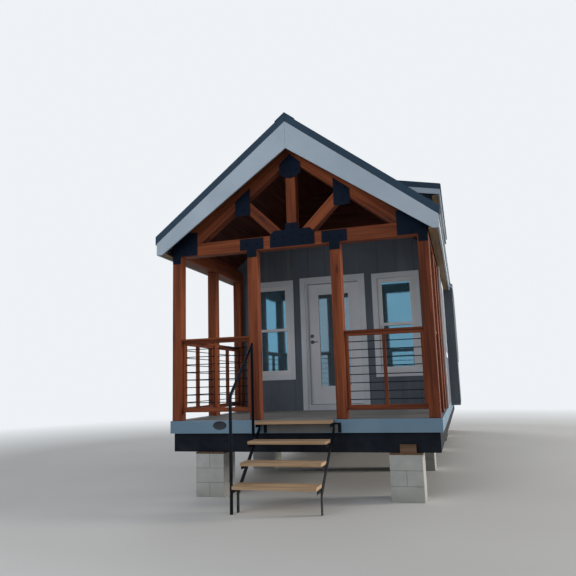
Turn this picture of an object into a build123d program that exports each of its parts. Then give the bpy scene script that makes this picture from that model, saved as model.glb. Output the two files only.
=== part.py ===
"""Park-model tiny house on a wheeled steel chassis, set up on block piers.

Units are millimetres, +Z is up and the porch faces -Y.
Inside the functions X = 0 is the ridge, Y = 0 the porch's front rim and Z = 0 the lowest ground contact.
The finished nodes are shifted so that the origin is the middle of the whole object's footprint.
"""
import math
import os

from build123d import *

# Plan and levels
house_width = 3600.0
porch_depth = 2440.0
body_length = 7925.0
wall = 120.0
wall_height = 2558.0
pier_height = 549.0
pier_cap = 21.0
chassis_depth = 240.0
rim_depth = 165.0
rim_board = 38.0
deck_board = 28.0
floor_step = 75.0
joist = 38.0
joist_count = 9

# Roof
roof_slope = 0.79
roof_thickness = 120.0
eave_overhang = 150.0
gable_overhang = 180.0
barge_thickness = 25.0
barge_inset = 20.0
barge_apex_depth = 377.0
barge_end_depth = 164.0
barge_return = 80.0
ridge_gap = 2.0
cap_rise = 14.0
cap_overrun = 6.0
cap_clearance = 7.0
fascia = 22.0
soffit = 12.0
soffit_rise = 8.0
ceiling_thickness = 24.0

# Dormers
dormer_length = 3050.0
dormer_slope = 0.208
dormer_meet = 145.0
dormer_thickness = 85.0
dormer_overhang = 300.0
dormer_board = 90.0
dormer_board_inset = 6.0
dormer_fascia = 110.0
dormer_lap = 329.0
dormer_window_rise = 227.0
dormer_window_width = 1100.0
dormer_window_height = 380.0

# Side bay
bay_offset = 2760.0
bay_length = 2440.0
bay_projection = 180.0
bay_wall = 90.0
bay_drop = 75.0
bay_overhang = 15.0
bay_roof_end = 40.0
bay_roof_sheet = 25.0
bay_roof_box = 65.0
bay_header = 333.0
bay_floor_gap = 2.0

# Timber frame
post = 140.0
post_inset_x = 15.0
post_inset_y = 22.0
middle_post_x = 580.0
side_post_y = 1205.0
beam_depth = 184.0
frieze_height = 87.0
frieze_thickness = 38.0
lining_rise = 516.0
lining_thickness = 12.0
chord_depth = 235.0
chord_drop = 590.0
strut_foot = 15.0

# Gusset plates
plate_thickness = 8.0
plate_margin = 12.0
plate_tab = 90.0
plate_centre_half = 312.0
plate_mid_half = 170.0
plate_corner_width = 380.0
plate_corner_rise = 166.0
plate_chamfer = 60.0
plate_apex_half = 150.0
plate_apex_rise = 135.0
plate_apex_fall = 205.0
plate_chord_low = 180.0
plate_chord_high = 215.0
plate_chord_half = 110.0

# Doorway of the porch wall
door_width = 912.0
door_height = 2070.0
door_thickness = 44.0
door_rise = 22.0
door_gap = 6.0
door_latch_gap = 8.0
jamb = 22.0
stop = 11.0
sill_overrun = 30.0
door_glass_side = 191.0
door_glass_head = 187.0
door_glass_rise = 303.0
door_glass_thickness = 18.0
lite_border = 23.0
lite_lip = 15.0
lite_projection = 8.0
lever_rise = 1061.0
bolt_rise = 1165.0
lock_backset = 57.0
rose_radius = 32.0
rose_sides = 24
rose_depth = 10.0
neck_radius = 12.0
neck_length = 40.0
lever_length = 115.0
lever_bar = 18.0
hinge_offset = 250.0
hinge_height = 90.0
hinge_leaf = 3.0
hinge_reach = 30.0
knuckle_radius = 6.0
knuckle = 30.0

# Windows
window_width = 613.0
window_height = 1563.0
window_rise = 612.0
window_x = 1090.5
side_window_width = 760.0
side_window_height = 1160.0
side_head_drop = 331.0
side_window_offset = 1160.0
rear_window_offset = 1365.0
rear_window_width = 900.0
window_set_back = 10.0
frame_bar = 28.0
frame_depth = 80.0
sash_bar = 46.0
sash_depth = 32.0
sash_set = 6.0
pane = 12.0
casing = 89.0
casing_thickness = 22.0
corner_board_width = 100.0
corner_board_thickness = 20.0

# Stair
tread_rise = 217.5
tread_run = 259.0
tread_width = 977.0
tread_depth = 260.0
tread_thickness = 40.0
tread_nose = 231.0
tread_count = 4
tread_gap = 8.0
stringer_plate = 10.0
stringer_depth = 90.0
stringer_lift = 24.0
stringer_foot = 60.0
foot_set = 82.0
cleat_width = 40.0
cleat_plate = 5.0
ledger_depth = 20.0
strap_left = 41.0
strap_inset = 49.0
strap_right = 91.0
panel_thickness = 4.0
panel_foot = 5.0

# Handrail
handrail_radius = 19.0
handrail_gap = 11.0
handrail_height = 964.0
handrail_foot = 915.0
handrail_leg = 165.0
handrail_bend = 60.0
lug_width = 40.0

# Railings
rail_top = 1083.0
rail_low = 110.0
rail_bar = 50.0
rail_stile = 42.0
rail_bottom_bar = 60.0
rail_cap_width = 90.0
rail_cap_height = 28.0
rod_radius = 6.0
rod_sides = 6
rod_count = 8
rod_pitch = 104.0
rod_first = 237.0

# Chassis
channel_inset = 42.0
channel_flange = 70.0
channel_web = 9.0
channel_lip = 12.0
rail_flange = 100.0
rail_web = 10.0
rail_lip = 10.0
member_count = 7
member_width = 50.0
member_depth = 100.0
member_drop = 10.0

# Running gear
wheel_radius = 352.0
wheel_width = 200.0
wheel_gap = 68.0
rail_gap = 30.0
wheel_sides = 36
tyre_shoulder = 28.0
rim_radius = 190.0
rim_inset = 20.0
rim_shell = 40.0
rim_disc = 20.0
axle_drop = 150.0
axle_radius = 38.0
axle_offset = 4390.0
axle_spread = 860.0
spring_half = 330.0
spring_camber = 50.0
spring_width = 60.0
spring_leaf = 10.0
leaf_count = 4
hanger = 50.0
hanger_lap = 15.0

# Piers
pier_side = 397.0
pier_wall_gap = 60.0
pier_wheel_gap = 488.0
pier_rear = 465.0
pier_shift = 120.0
shim_width = 196.0
shim_height = 100.0
shim_shift = 34.0

# Oval plate on the front rim
badge_x = -1073.0
badge_width = 194.0
badge_height = 112.0
badge_sides = 36
badge_thickness = 4.0
badge_drop = 63.0

# Derived plan and levels
half = house_width / 2
house_length = porch_depth + body_length
chassis_bottom = pier_height + pier_cap
rim_bottom = chassis_bottom + chassis_depth
deck_top = rim_bottom + rim_depth
floor_top = deck_top + floor_step
rim_inner = half - rim_board
wall_inner = half - wall
ridge_top = deck_top + wall_height + roof_thickness + roof_slope * half
roof_half = half + eave_overhang
roof_front = -gable_overhang
roof_rear = house_length + gable_overhang
board_half = roof_half - barge_inset
cap_half = dormer_meet - cap_clearance
dormer_start = porch_depth
dormer_end = dormer_start + dormer_length
dormer_eave_top = ridge_top - roof_slope * dormer_meet - dormer_slope * (roof_half - dormer_meet)
bay_start = porch_depth + bay_offset
bay_end = bay_start + bay_length
bay_outer = half + bay_projection
bay_bottom = deck_top - bay_drop
bay_roof_half = bay_outer + bay_overhang
post_outer = half - post_inset_x
post_inner = post_outer - post
post_front = post_inset_y
post_back = post_front + post
hp = post / 2
door_bottom = floor_top + door_rise
door_top = door_bottom + door_height
head_z = door_top + door_gap + jamb
opening_half = door_width / 2 + door_gap + jamb
door_back = porch_depth + wall
door_front = door_back - door_thickness
window_sill = deck_top + window_rise
side_windows = (porch_depth + side_window_offset, house_length - rear_window_offset)
bay_middle = bay_start + bay_length / 2
dormer_middle = dormer_start + dormer_length / 2
channel_outer = half - channel_inset
channel_inner = channel_outer - channel_flange
chassis_front = channel_inset + channel_flange
chassis_rear = house_length - chassis_front
wheel_x = channel_inner - wheel_gap - wheel_width / 2
main_rail_x = wheel_x - wheel_width / 2 - rail_gap - rail_flange / 2
wheel_centre = chassis_bottom - axle_drop
axle_middle = porch_depth + axle_offset
axle_rows = (axle_middle - axle_spread / 2, axle_middle + axle_spread / 2)
handrail_x = -(middle_post_x - hp + handrail_gap + handrail_radius)
stair_left = handrail_x + handrail_radius + handrail_gap + stringer_plate
stair_right = stair_left + tread_width
steep = tread_rise / tread_run


def box(x0, x1, y0, y1, z0, z1):
    """Box between two corners."""
    return Pos((x0 + x1) / 2, (y0 + y1) / 2, (z0 + z1) / 2) * Box(x1 - x0, y1 - y0, z1 - z0)


def prism_y(points, y0, y1):
    """Outline given as (x, z) pairs, run along Y."""
    wire = Polyline(*[(x, y0, z) for x, z in points], close=True)
    return extrude(make_face(wire), amount=y1 - y0, dir=(0, 1, 0))


def prism_x(points, x0, x1):
    """Outline given as (y, z) pairs, run along X."""
    wire = Polyline(*[(x0, y, z) for y, z in points], close=True)
    return extrude(make_face(wire), amount=x1 - x0, dir=(1, 0, 0))


def symmetric(points):
    """Full outline from its right half, listed from the bottom to the top."""
    return points + [(-x, z) for x, z in reversed(points) if x > 0]


def mirrored(shape):
    """The same piece on the other side of the ridge line."""
    return mirror(shape, about=Plane.YZ)


def pair(shape):
    """A piece of the right side with its twin on the left."""
    return [shape, mirrored(shape)]


def roof_z(x):
    """Height of the main roof's top surface at a distance x from the ridge."""
    return ridge_top - roof_slope * abs(x)


def roof_under(x):
    """Height of the main roof's underside."""
    return roof_z(x) - roof_thickness


def ceiling_under(x):
    """Height of the porch ceiling's underside."""
    return roof_under(x) - ceiling_thickness


def dormer_z(x):
    """Height of a dormer roof's top surface."""
    return dormer_eave_top + dormer_slope * (roof_half - abs(x))


def dormer_under(x):
    """Height of a dormer roof's underside."""
    return dormer_z(x) - dormer_thickness


def dormer_line_meets(drop):
    """Distance from the ridge where the dormer's line, lowered by drop, meets the main slope."""
    return dormer_meet + drop / (roof_slope - dormer_slope)


# Levels of the porch frame, measured down from the ceiling
beam_top = ceiling_under(post_outer) - frieze_height
beam_bottom = beam_top - beam_depth
chord_low = ridge_top - chord_drop
chord_high = chord_low + chord_depth


def chord_under(x):
    """Height of the truss chord's lower edge."""
    return chord_low - roof_slope * abs(x)


def chord_over(x):
    """Height of the truss chord's upper edge."""
    return chord_high - roof_slope * abs(x)


# Chassis and running gear
def main_rail(x):
    """Main rail: rolled section with two flanges and a web."""
    z0, z1 = chassis_bottom, rim_bottom
    f, w, t = rail_flange / 2, rail_web / 2, rail_lip
    right = [(f, z0), (f, z0 + t), (w, z0 + t), (w, z1 - t), (f, z1 - t), (f, z1)]
    return Pos(x, 0, 0) * prism_y(symmetric(right), chassis_front, chassis_rear)


def side_channel():
    """Perimeter channel of the right side, web outwards."""
    web = channel_outer - channel_web
    z0, z1 = chassis_bottom, rim_bottom
    outline = [
        (channel_inner, z0), (channel_outer, z0), (channel_outer, z1), (channel_inner, z1),
        (channel_inner, z1 - channel_lip), (web, z1 - channel_lip),
        (web, z0 + channel_lip), (channel_inner, z0 + channel_lip),
    ]
    return prism_y(outline, chassis_front, chassis_rear)


def end_channel(y_web, inward):
    """Cross channel of one end, web outwards; inward is the sign of its flanges along Y."""
    z0, z1 = chassis_bottom, rim_bottom
    flange = y_web + inward * channel_flange
    web = y_web + inward * channel_web
    outline = [
        (y_web, z0), (flange, z0), (flange, z0 + channel_lip), (web, z0 + channel_lip),
        (web, z1 - channel_lip), (flange, z1 - channel_lip), (flange, z1), (y_web, z1),
    ]
    return prism_x(outline, -channel_outer, channel_outer)


def chassis():
    """Rails, channels and cross members of the steel chassis."""
    members = [end_channel(channel_inset, 1), end_channel(house_length - channel_inset, -1)]
    reach = main_rail_x - rail_web / 2
    top = rim_bottom - member_drop
    for i in range(member_count):
        y = chassis_front + (chassis_rear - chassis_front) * (i + 0.5) / member_count
        y0 = y - member_width / 2
        members.append(box(-reach, reach, y0, y0 + member_width, top - member_depth, top))
    return {
        "chassis_rails": [main_rail(main_rail_x), main_rail(-main_rail_x)] + pair(side_channel()),
        "chassis_cross_members": members,
    }


def drum(radius, width):
    """Round drum about the Z axis, drawn with flats, centred on Z = 0."""
    return Pos(0, 0, -width / 2) * extrude(RegularPolygon(radius, wheel_sides), width)


def tyre():
    """Tyre about the Z axis with bevelled shoulders."""
    ring = drum(wheel_radius, wheel_width)
    ends = ring.faces().sort_by(Axis.Z)
    shoulders = ends[0].edges() + ends[-1].edges()
    return chamfer(shoulders, tyre_shoulder) - drum(rim_radius, wheel_width)


def wheel_rim():
    """Dished steel wheel about the Z axis, open towards +Z."""
    width = wheel_width - 2 * rim_inset
    return drum(rim_radius, width) - Pos(0, 0, rim_disc) * drum(rim_radius - rim_shell, width)


def leaf_spring(y):
    """Leaves of one spring in a stepped stack over the axle, with the hangers at both ends."""
    base = wheel_centre + axle_radius
    radius = (spring_half ** 2 + spring_camber ** 2) / (2 * spring_camber)
    x0 = main_rail_x - spring_width / 2

    def spot(layer, angle):
        """Point on the underside of a layer, an angle away from the axle."""
        r = radius - layer * spring_leaf
        return (x0, y + r * math.sin(angle), base + radius - r * math.cos(angle))

    def arc(layer, start, end):
        """Arc along the underside of a layer."""
        return ThreePointArc(spot(layer, start), spot(layer, (start + end) / 2), spot(layer, end))

    reach = [spring_half * (i + 1) / leaf_count / radius for i in range(leaf_count)]
    edges = [arc(0, -reach[0], reach[0])]
    for i in range(1, leaf_count):
        for s in (-1, 1):
            edges.append(Line(spot(i - 1, s * reach[i - 1]), spot(i, s * reach[i - 1])))
            edges.append(arc(i, s * reach[i - 1], s * reach[i]))
    for s in (-1, 1):
        edges.append(Line(spot(leaf_count - 1, s * reach[-1]), spot(leaf_count, s * reach[-1])))
    edges.append(arc(leaf_count, -reach[-1], reach[-1]))
    spring = extrude(make_face(edges), amount=spring_width, dir=(1, 0, 0))
    for s in (-1, 1):
        y0, y1 = sorted((y + s * (spring_half - hanger), y + s * spring_half))
        spring += box(x0, x0 + spring_width, y0, y1, base + spring_camber + hanger_lap, chassis_bottom)
    return spring


def running_gear():
    """Two axles with leaf springs, wheels and tyres."""
    tyres, rims, axles, springs = [], [], [], []
    reach = wheel_x - wheel_width / 2 + rim_inset
    for y in axle_rows:
        axles.append(Pos(0, y, wheel_centre) * Rot(0, 90, 0) * Cylinder(axle_radius, 2 * reach))
        place = Pos(wheel_x, y, wheel_centre) * Rot(0, 90, 0)
        tyres += pair(place * tyre())
        rims += pair(place * wheel_rim())
        springs += pair(leaf_spring(y))
    return {"axles": axles, "leaf_springs": springs, "tyres": tyres, "wheel_rims": rims}


def piers():
    """Block piers in two rows with their wooden caps, and the shim in front of the right front one."""
    before_wheels = axle_rows[0] - wheel_radius - pier_wheel_gap - pier_side
    behind_wheels = axle_rows[1] + wheel_radius + pier_wheel_gap
    rows = (0.0, porch_depth + pier_wall_gap, before_wheels, behind_wheels, house_length - pier_rear)
    stacks, caps = [], []
    for y in rows:
        for x in (main_rail_x, -main_rail_x + (pier_shift if y == rows[0] else 0.0)):
            x0, x1 = x - pier_side / 2, x + pier_side / 2
            stacks.append(box(x0, x1, y, y + pier_side, 0, pier_height))
            caps.append(box(x0, x1, y, y + pier_side, pier_height, chassis_bottom))
    x0 = main_rail_x + shim_shift - shim_width / 2
    caps.append(box(x0, x0 + shim_width, 0, channel_inset, chassis_bottom, chassis_bottom + shim_height))
    return {"block_piers": stacks, "pier_caps": caps}


# Platform
def platform():
    """Rim boards, porch deck, joists and the floor of the house."""
    joists = []
    for i in range(joist_count):
        x = (rim_inner - joist / 2) * (2 * i / (joist_count - 1) - 1) - joist / 2
        joists.append(box(x, x + joist, rim_board, porch_depth, rim_bottom, deck_top - deck_board))
    bay_x = bay_outer - bay_wall
    sill_x = wall_inner + bay_floor_gap
    bay_floor = prism_y([
        (sill_x, deck_top), (sill_x, floor_top), (bay_x, floor_top), (bay_x, bay_bottom),
        (half, bay_bottom), (half, deck_top)], bay_start + bay_wall, bay_end - bay_wall)
    flat_round = RegularPolygon(badge_width / 2, badge_sides)
    oval = extrude(scale(flat_round, by=(1, badge_height / badge_width, 1)), badge_thickness)
    rear = house_length - rim_board
    return {
        "end_rims": [
            box(-half, half, 0, rim_board, rim_bottom, deck_top),
            box(-rim_inner, rim_inner, rear, house_length, rim_bottom, deck_top),
        ],
        "side_rims": pair(box(rim_inner, half, rim_board, house_length, rim_bottom, deck_top)),
        "porch_deck": [box(-rim_inner, rim_inner, rim_board, porch_depth, deck_top - deck_board, deck_top)],
        "floor_platform": [box(-rim_inner, rim_inner, porch_depth, rear, rim_bottom, deck_top)] + joists,
        "house_floor": [
            box(-wall_inner, wall_inner, door_back, house_length - wall, deck_top, floor_top),
            bay_floor,
        ],
        "rim_badge": [Pos(badge_x, 0, deck_top - badge_drop) * Rot(90, 0, 0) * oval],
    }


# Walls
def hole_y(x, z0, w, h, y0, y1):
    """Cutter through a wall that faces along Y."""
    return box(x - w / 2, x + w / 2, y0 - wall, y1 + wall, z0, z0 + h)


def hole_x(y, z0, w, h, x0, x1):
    """Cutter through a wall that faces along X."""
    return box(x0 - wall, x1 + wall, y - w / 2, y + w / 2, z0, z0 + h)


# Heads of the side windows line up below the roof at the bay's face
side_head = roof_under(bay_outer) - side_head_drop
side_sill = side_head - side_window_height


def under_roof(x0, x1, z, drop=0.0):
    """Outline of a piece between two distances from the ridge, from a level z up to drop below the roof."""
    return [(x0, z), (x1, z), (x1, roof_under(x1) - drop), (x0, roof_under(x0) - drop)]


def side_wall(y0, y1, holes):
    """Right side wall up to the roof's underside, with a window at each place listed."""
    panel = prism_y(under_roof(wall_inner, half, deck_top), y0, y1)
    for y in holes:
        panel -= hole_x(y, side_sill, side_window_width, side_window_height, wall_inner, half)
    return panel


def walls():
    """Porch wall beside and over the doorway, side walls, rear wall and the side bay."""
    rear_in = house_length - wall
    front = prism_y(under_roof(opening_half, half, deck_top), porch_depth, door_back)
    front -= hole_y(window_x, window_sill, window_width, window_height, porch_depth, door_back)
    peak = (0, roof_under(0))
    over_door = symmetric([(opening_half, head_z), (opening_half, roof_under(opening_half)), peak])
    rear = prism_y(symmetric([(half, deck_top), (half, roof_under(half)), peak]), rear_in, house_length)
    rear -= hole_y(0, side_sill, rear_window_width, side_window_height, rear_in, house_length)
    left = side_wall(door_back, rear_in, (side_windows[0], sum(side_windows) / 2, side_windows[1]))
    header = prism_y(under_roof(wall_inner, half, roof_under(half) - bay_header), bay_start, bay_end)
    inner = bay_outer - bay_wall
    drop = bay_roof_sheet + bay_roof_box
    face = prism_y(under_roof(inner, bay_outer, bay_bottom, drop), bay_start, bay_end)
    face -= hole_x(bay_middle, side_sill, side_window_width, side_window_height, inner, bay_outer)
    cheek = under_roof(half, inner, bay_bottom, drop)
    cheeks = [prism_y(cheek, bay_start, bay_start + bay_wall), prism_y(cheek, bay_end - bay_wall, bay_end)]
    return {
        "front_wall_sides": pair(front),
        "front_wall_gable": [prism_y(over_door, porch_depth, door_back)],
        "side_walls": [
            mirrored(left),
            side_wall(door_back, bay_start, side_windows[:1]),
            side_wall(bay_end, rear_in, side_windows[1:]),
        ],
        "right_wall_over_bay": [header],
        "rear_wall": [rear],
        "bay_face": [face],
        "bay_cheeks": cheeks,
    }


# Roof
def slope_slab(x0, x1, y0, y1, drop=0.0, thick=roof_thickness):
    """Piece of the right-hand slope between two distances from the ridge."""
    outline = [
        (x0, roof_z(x0) - drop), (x1, roof_z(x1) - drop),
        (x1, roof_z(x1) - drop - thick), (x0, roof_z(x0) - drop - thick),
    ]
    return prism_y(outline, y0, y1)


def roof():
    """Main slopes, ridge cap, eaves, barge boards and porch ceiling."""
    d0, d1 = dormer_start + wall, dormer_end - wall
    upper = dormer_line_meets(dormer_thickness) + dormer_lap
    gap = ridge_gap / 2
    foot = roof_under(board_half) - barge_end_depth
    barge = [
        (gap, roof_under(gap)), (board_half, roof_under(board_half)), (board_half, foot),
        (board_half - barge_return, foot), (gap, roof_under(gap) - barge_apex_depth),
    ]
    e0, e1 = roof_front + barge_thickness, roof_rear - barge_thickness
    back = board_half - fascia
    eave = [(back, foot), (board_half, foot), (board_half, roof_under(board_half)), (back, roof_under(back))]
    z0 = foot + soffit_rise
    z1 = z0 + soffit
    before_bay, behind_bay = bay_start - bay_roof_end, bay_end + bay_roof_end
    edge = roof_z(cap_half)
    cap = symmetric([(cap_half, edge), (cap_half, edge + cap_rise), (0, ridge_top + cap_rise)])
    cap.append((0, ridge_top))
    ceiling = slope_slab(ridge_gap, post_outer, e0, porch_depth, roof_thickness, ceiling_thickness)
    return {
        "main_roof": (pair(slope_slab(ridge_gap, roof_half, roof_front, d0))
                      + pair(slope_slab(ridge_gap, roof_half, d1, roof_rear))),
        "middle_roof": (pair(slope_slab(ridge_gap, upper, d0, d1))
                        + pair(slope_slab(wall_inner, roof_half, d0, d1))),
        "ridge_cap": [prism_y(cap, roof_front - cap_overrun, roof_rear + cap_overrun)],
        "barge_boards": pair(prism_y(barge, roof_front, e0)) + pair(prism_y(barge, e1, roof_rear)),
        "eave_fascias": [
            prism_y(eave, e0, before_bay),
            prism_y(eave, behind_bay, e1),
            mirrored(prism_y(eave, e0, e1)),
        ],
        "eave_soffits": [
            box(half, back, e0, before_bay, z0, z1),
            box(half, back, behind_bay, e1, z0, z1),
            mirrored(box(half, back, e0, e1, z0, z1)),
        ],
        "porch_ceiling": pair(ceiling),
    }


def dormers():
    """Shed dormers of both slopes, and the small roof of the bay below the main eave."""
    under = dormer_line_meets(dormer_thickness)
    y0, y1 = dormer_start - dormer_overhang, dormer_end + dormer_overhang
    slab = prism_y([
        (dormer_meet, dormer_z(dormer_meet)), (roof_half, dormer_z(roof_half)),
        (roof_half, dormer_under(roof_half)), (under, dormer_under(under))], y0, y1)
    cheek = [(under, roof_z(under)), (half, roof_z(half)), (half, dormer_under(half))]
    face = prism_y([
        (wall_inner, roof_z(wall_inner)), (half, roof_z(half)), (half, dormer_under(half)),
        (wall_inner, dormer_under(wall_inner))], dormer_start + wall, dormer_end - wall)
    sill = roof_z(half) + dormer_window_rise
    face -= hole_x(dormer_middle, sill, dormer_window_width, dormer_window_height, wall_inner, half)
    low = dormer_line_meets(dormer_thickness + dormer_board)
    barge = [
        (under, dormer_under(under)), (board_half, dormer_under(board_half)),
        (board_half, dormer_under(board_half) - dormer_board), (low, dormer_under(low) - dormer_board),
    ]
    b0 = y0 + dormer_board_inset
    b1 = b0 + fascia
    b3 = y1 - dormer_board_inset
    b2 = b3 - fascia
    back = board_half - fascia
    top = dormer_under(board_half)
    soffit_z = top - dormer_fascia + soffit_rise
    bay = (half, bay_roof_half, bay_start - bay_roof_end, bay_end + bay_roof_end)
    bay_sheet = slope_slab(*bay, roof_thickness, bay_roof_sheet)
    bay_box = slope_slab(*bay, roof_thickness + bay_roof_sheet, bay_roof_box)
    return {
        "dormer_and_bay_roofs": pair(slab) + [bay_sheet],
        "dormer_cheeks": (pair(prism_y(cheek, dormer_start, dormer_start + wall))
                          + pair(prism_y(cheek, dormer_end - wall, dormer_end))),
        "dormer_faces": pair(face),
        "barge_boards": pair(prism_y(barge, b0, b1)) + pair(prism_y(barge, b2, b3)) + [bay_box],
        "eave_fascias": pair(box(back, board_half, b1, b2, top - dormer_fascia, top)),
        "eave_soffits": pair(box(half, back, b1, b2, soffit_z, soffit_z + soffit)),
    }


# Where the strut's two edges cross the chord's lower edge, and how far its foot runs along the beam
strut_edge = hp + strut_foot
strut_spread = post * math.sqrt(2)
strut_head_top = (chord_low - beam_top + strut_edge) / (1 + roof_slope)
strut_head_low = (chord_low - beam_top + strut_edge + strut_spread) / (1 + roof_slope)


# Timber frame of the porch
def timber_frame():
    """Posts, beams, the front truss with its end rafters, and the boards in the peak of the porch wall."""
    posts = []
    for x in (post_outer - hp, middle_post_x):
        posts += pair(box(x - hp, x + hp, post_front, post_back, deck_top, beam_bottom))
    for y in (side_post_y, porch_depth - post):
        posts += pair(box(post_inner, post_outer, y, y + post, deck_top, beam_bottom))
    beam = box(-post_outer, post_outer, post_front, post_back, beam_bottom, beam_top)
    side_beam = box(post_inner, post_outer, post_back, porch_depth, beam_bottom, beam_top)
    heel_low = (chord_low - beam_top) / roof_slope
    heel_high = (chord_high - beam_top) / roof_slope
    chord = prism_y([
        (hp, chord_under(hp)), (hp, chord_over(hp)), (heel_high, beam_top), (heel_low, beam_top),
    ], post_front, post_back)
    king = box(-hp, hp, post_front, post_back, beam_top, chord_over(hp))
    strut = prism_y([
        (strut_edge, beam_top), (strut_edge + strut_spread, beam_top),
        (strut_head_low, chord_under(strut_head_low)), (strut_head_top, chord_under(strut_head_top)),
    ], post_front, post_back)
    gap = ridge_gap / 2
    rafter = prism_y([
        (gap, chord_over(hp)), (hp, chord_over(hp)), (heel_high, beam_top), (post_outer, beam_top),
        (post_outer, ceiling_under(post_outer)), (gap, ceiling_under(gap)),
    ], post_front, post_front + frieze_thickness)
    edge = post_outer - frieze_thickness
    frieze = prism_y([
        (edge, beam_top), (post_outer, beam_top),
        (post_outer, ceiling_under(post_outer)), (edge, ceiling_under(edge)),
    ], post_front + frieze_thickness, porch_depth)
    foot = beam_top + lining_rise
    reach = (ceiling_under(0) - foot) / roof_slope
    lining = prism_y([(-reach, foot), (reach, foot), (0, ceiling_under(0))],
                     porch_depth - lining_thickness, porch_depth)
    return {
        "porch_posts": posts,
        "front_beam": [beam],
        "side_beams": pair(side_beam),
        "truss_chords": pair(chord) + pair(rafter),
        "truss_web": [king] + pair(strut),
        "frieze_boards": pair(frieze),
        "gable_lining": [lining],
    }


def gusset_plates():
    """Flat steel plates on the face of the truss."""
    y0, y1 = post_front - plate_thickness, post_front
    low = beam_bottom + plate_margin
    shoulder = beam_top + plate_chamfer
    centre = symmetric([
        (plate_centre_half, low), (plate_centre_half, beam_top),
        (plate_centre_half - plate_chamfer, shoulder), (plate_tab, shoulder),
        (plate_tab, shoulder + plate_tab),
    ])
    apex_z = chord_under(hp)
    apex_foot = apex_z - plate_apex_fall
    apex = symmetric([
        (hp - plate_margin, apex_foot), (plate_apex_half, apex_foot + plate_chamfer),
        (plate_apex_half, apex_z), (0, apex_z + plate_apex_rise),
    ])
    tab = beam_bottom - plate_tab
    mid = symmetric([
        (hp, tab), (hp, low), (plate_mid_half, low), (plate_mid_half, beam_top - plate_margin),
    ])
    x1 = post_outer - plate_margin / 2
    x0 = x1 - plate_corner_width
    tab_x = post_inner + plate_margin
    corner = [
        (x0, low), (tab_x, low), (tab_x, tab), (x1, tab), (x1, shoulder),
        ((x0 + x1) / 2, beam_top + plate_corner_rise), (x0, beam_top + plate_corner_rise - plate_margin),
    ]
    xc = (strut_head_low + strut_head_top) / 2 + plate_margin
    zc = chord_under(xc)
    left, right = xc - plate_chord_half, xc + plate_chord_half
    low_z = zc - plate_chord_low
    high_z = zc + plate_chord_high
    chord = [
        (left, low_z + plate_margin), (xc, low_z), (right, low_z + plate_margin),
        (right, high_z - roof_slope * 2 * plate_chord_half), (left, high_z),
    ]
    plates = [prism_y(centre, y0, y1), prism_y(apex, y0, y1)]
    plates += pair(Pos(middle_post_x, 0, 0) * prism_y(mid, y0, y1))
    plates += pair(prism_y(corner, y0, y1)) + pair(prism_y(chord, y0, y1))
    return {"gusset_plates": plates}


# Railings
def railing(length):
    """Panel along X from 0 to length, centred on Y = 0: its wooden frame and its rods."""
    t = rail_bar / 2
    z0, z1 = deck_top + rail_low, deck_top + rail_top
    mid = length / 2
    frame = box(0, length, -t, t, z0, z1)
    for x0, x1 in ((rail_stile, mid - rail_stile / 2), (mid + rail_stile / 2, length - rail_stile)):
        frame -= box(x0, x1, -rail_bar, rail_bar, z0 + rail_bottom_bar, z1 - rail_stile)
    frame += box(0, length, -rail_cap_width / 2, rail_cap_width / 2, z1, z1 + rail_cap_height)
    rods = []
    for i in range(rod_count):
        bar = Rot(0, 90, 0) * extrude(RegularPolygon(rod_radius, rod_sides), length - 2 * rail_stile)
        rods.append(Pos(rail_stile, 0, deck_top + rod_first + rod_pitch * i) * bar)
    for rod in rods:
        frame -= rod
    return frame, rods


def railings():
    """Six panels between the posts."""
    start = middle_post_x + hp
    middle = post_front + hp
    spans = [(Pos(start, middle, 0), post_inner - start, "front_railings")]
    for y0, y1 in ((post_back, side_post_y), (side_post_y + post, porch_depth - post)):
        spans.append((Pos(post_outer - hp, y0, 0) * Rot(0, 0, 90), y1 - y0, "side_railings"))
    nodes = {"railing_rods": []}
    for place, length, name in spans:
        frame, rods = railing(length)
        nodes.setdefault(name, []).extend(pair(place * frame))
        for rod in rods:
            nodes["railing_rods"] += pair(place * rod)
    return nodes


# Stair
def tread_place(i):
    """Nose, back edge and top level of a tread, counted from the deck down."""
    nose = -tread_nose - tread_run * i
    return nose, min(nose + tread_depth, -tread_gap), deck_top - tread_rise * i


def stringer_top(y):
    """Level of the sloping bar's upper edge, which rises past the back corner of each tread."""
    return deck_top - tread_thickness + stringer_lift + steep * (y + tread_nose - tread_depth)


def stringer_outline():
    """Side bar of the stair: it slopes down behind the treads and ends in a vertical foot."""
    foot_front = -tread_nose - tread_run * (tread_count - 1) + tread_depth - foot_set
    foot_back = foot_front + stringer_foot
    return [
        (-tread_gap, stringer_top(-tread_gap)), (foot_front, stringer_top(foot_front)),
        (foot_front, 0), (foot_back, 0), (foot_back, stringer_top(foot_back) - stringer_depth),
        (-tread_gap, stringer_top(-tread_gap) - stringer_depth),
    ]


def stringer(x, outward):
    """One side of the stair with a cleat under each tread; outward is the sign of its outer side."""
    side = prism_x(stringer_outline(), *sorted((x, x + outward * stringer_plate)))
    x0, x1 = sorted((x, x - outward * cleat_width))
    w0, w1 = sorted((x, x - outward * cleat_plate))
    for i in range(tread_count):
        nose, back, top = tread_place(i)
        under = top - tread_thickness
        y0, y1 = nose + cleat_width, back
        side += box(x0, x1, y0, y1, under - cleat_plate, under)
        side += box(w0, w1, y0, y1, under - cleat_width, under)
    return side


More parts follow.
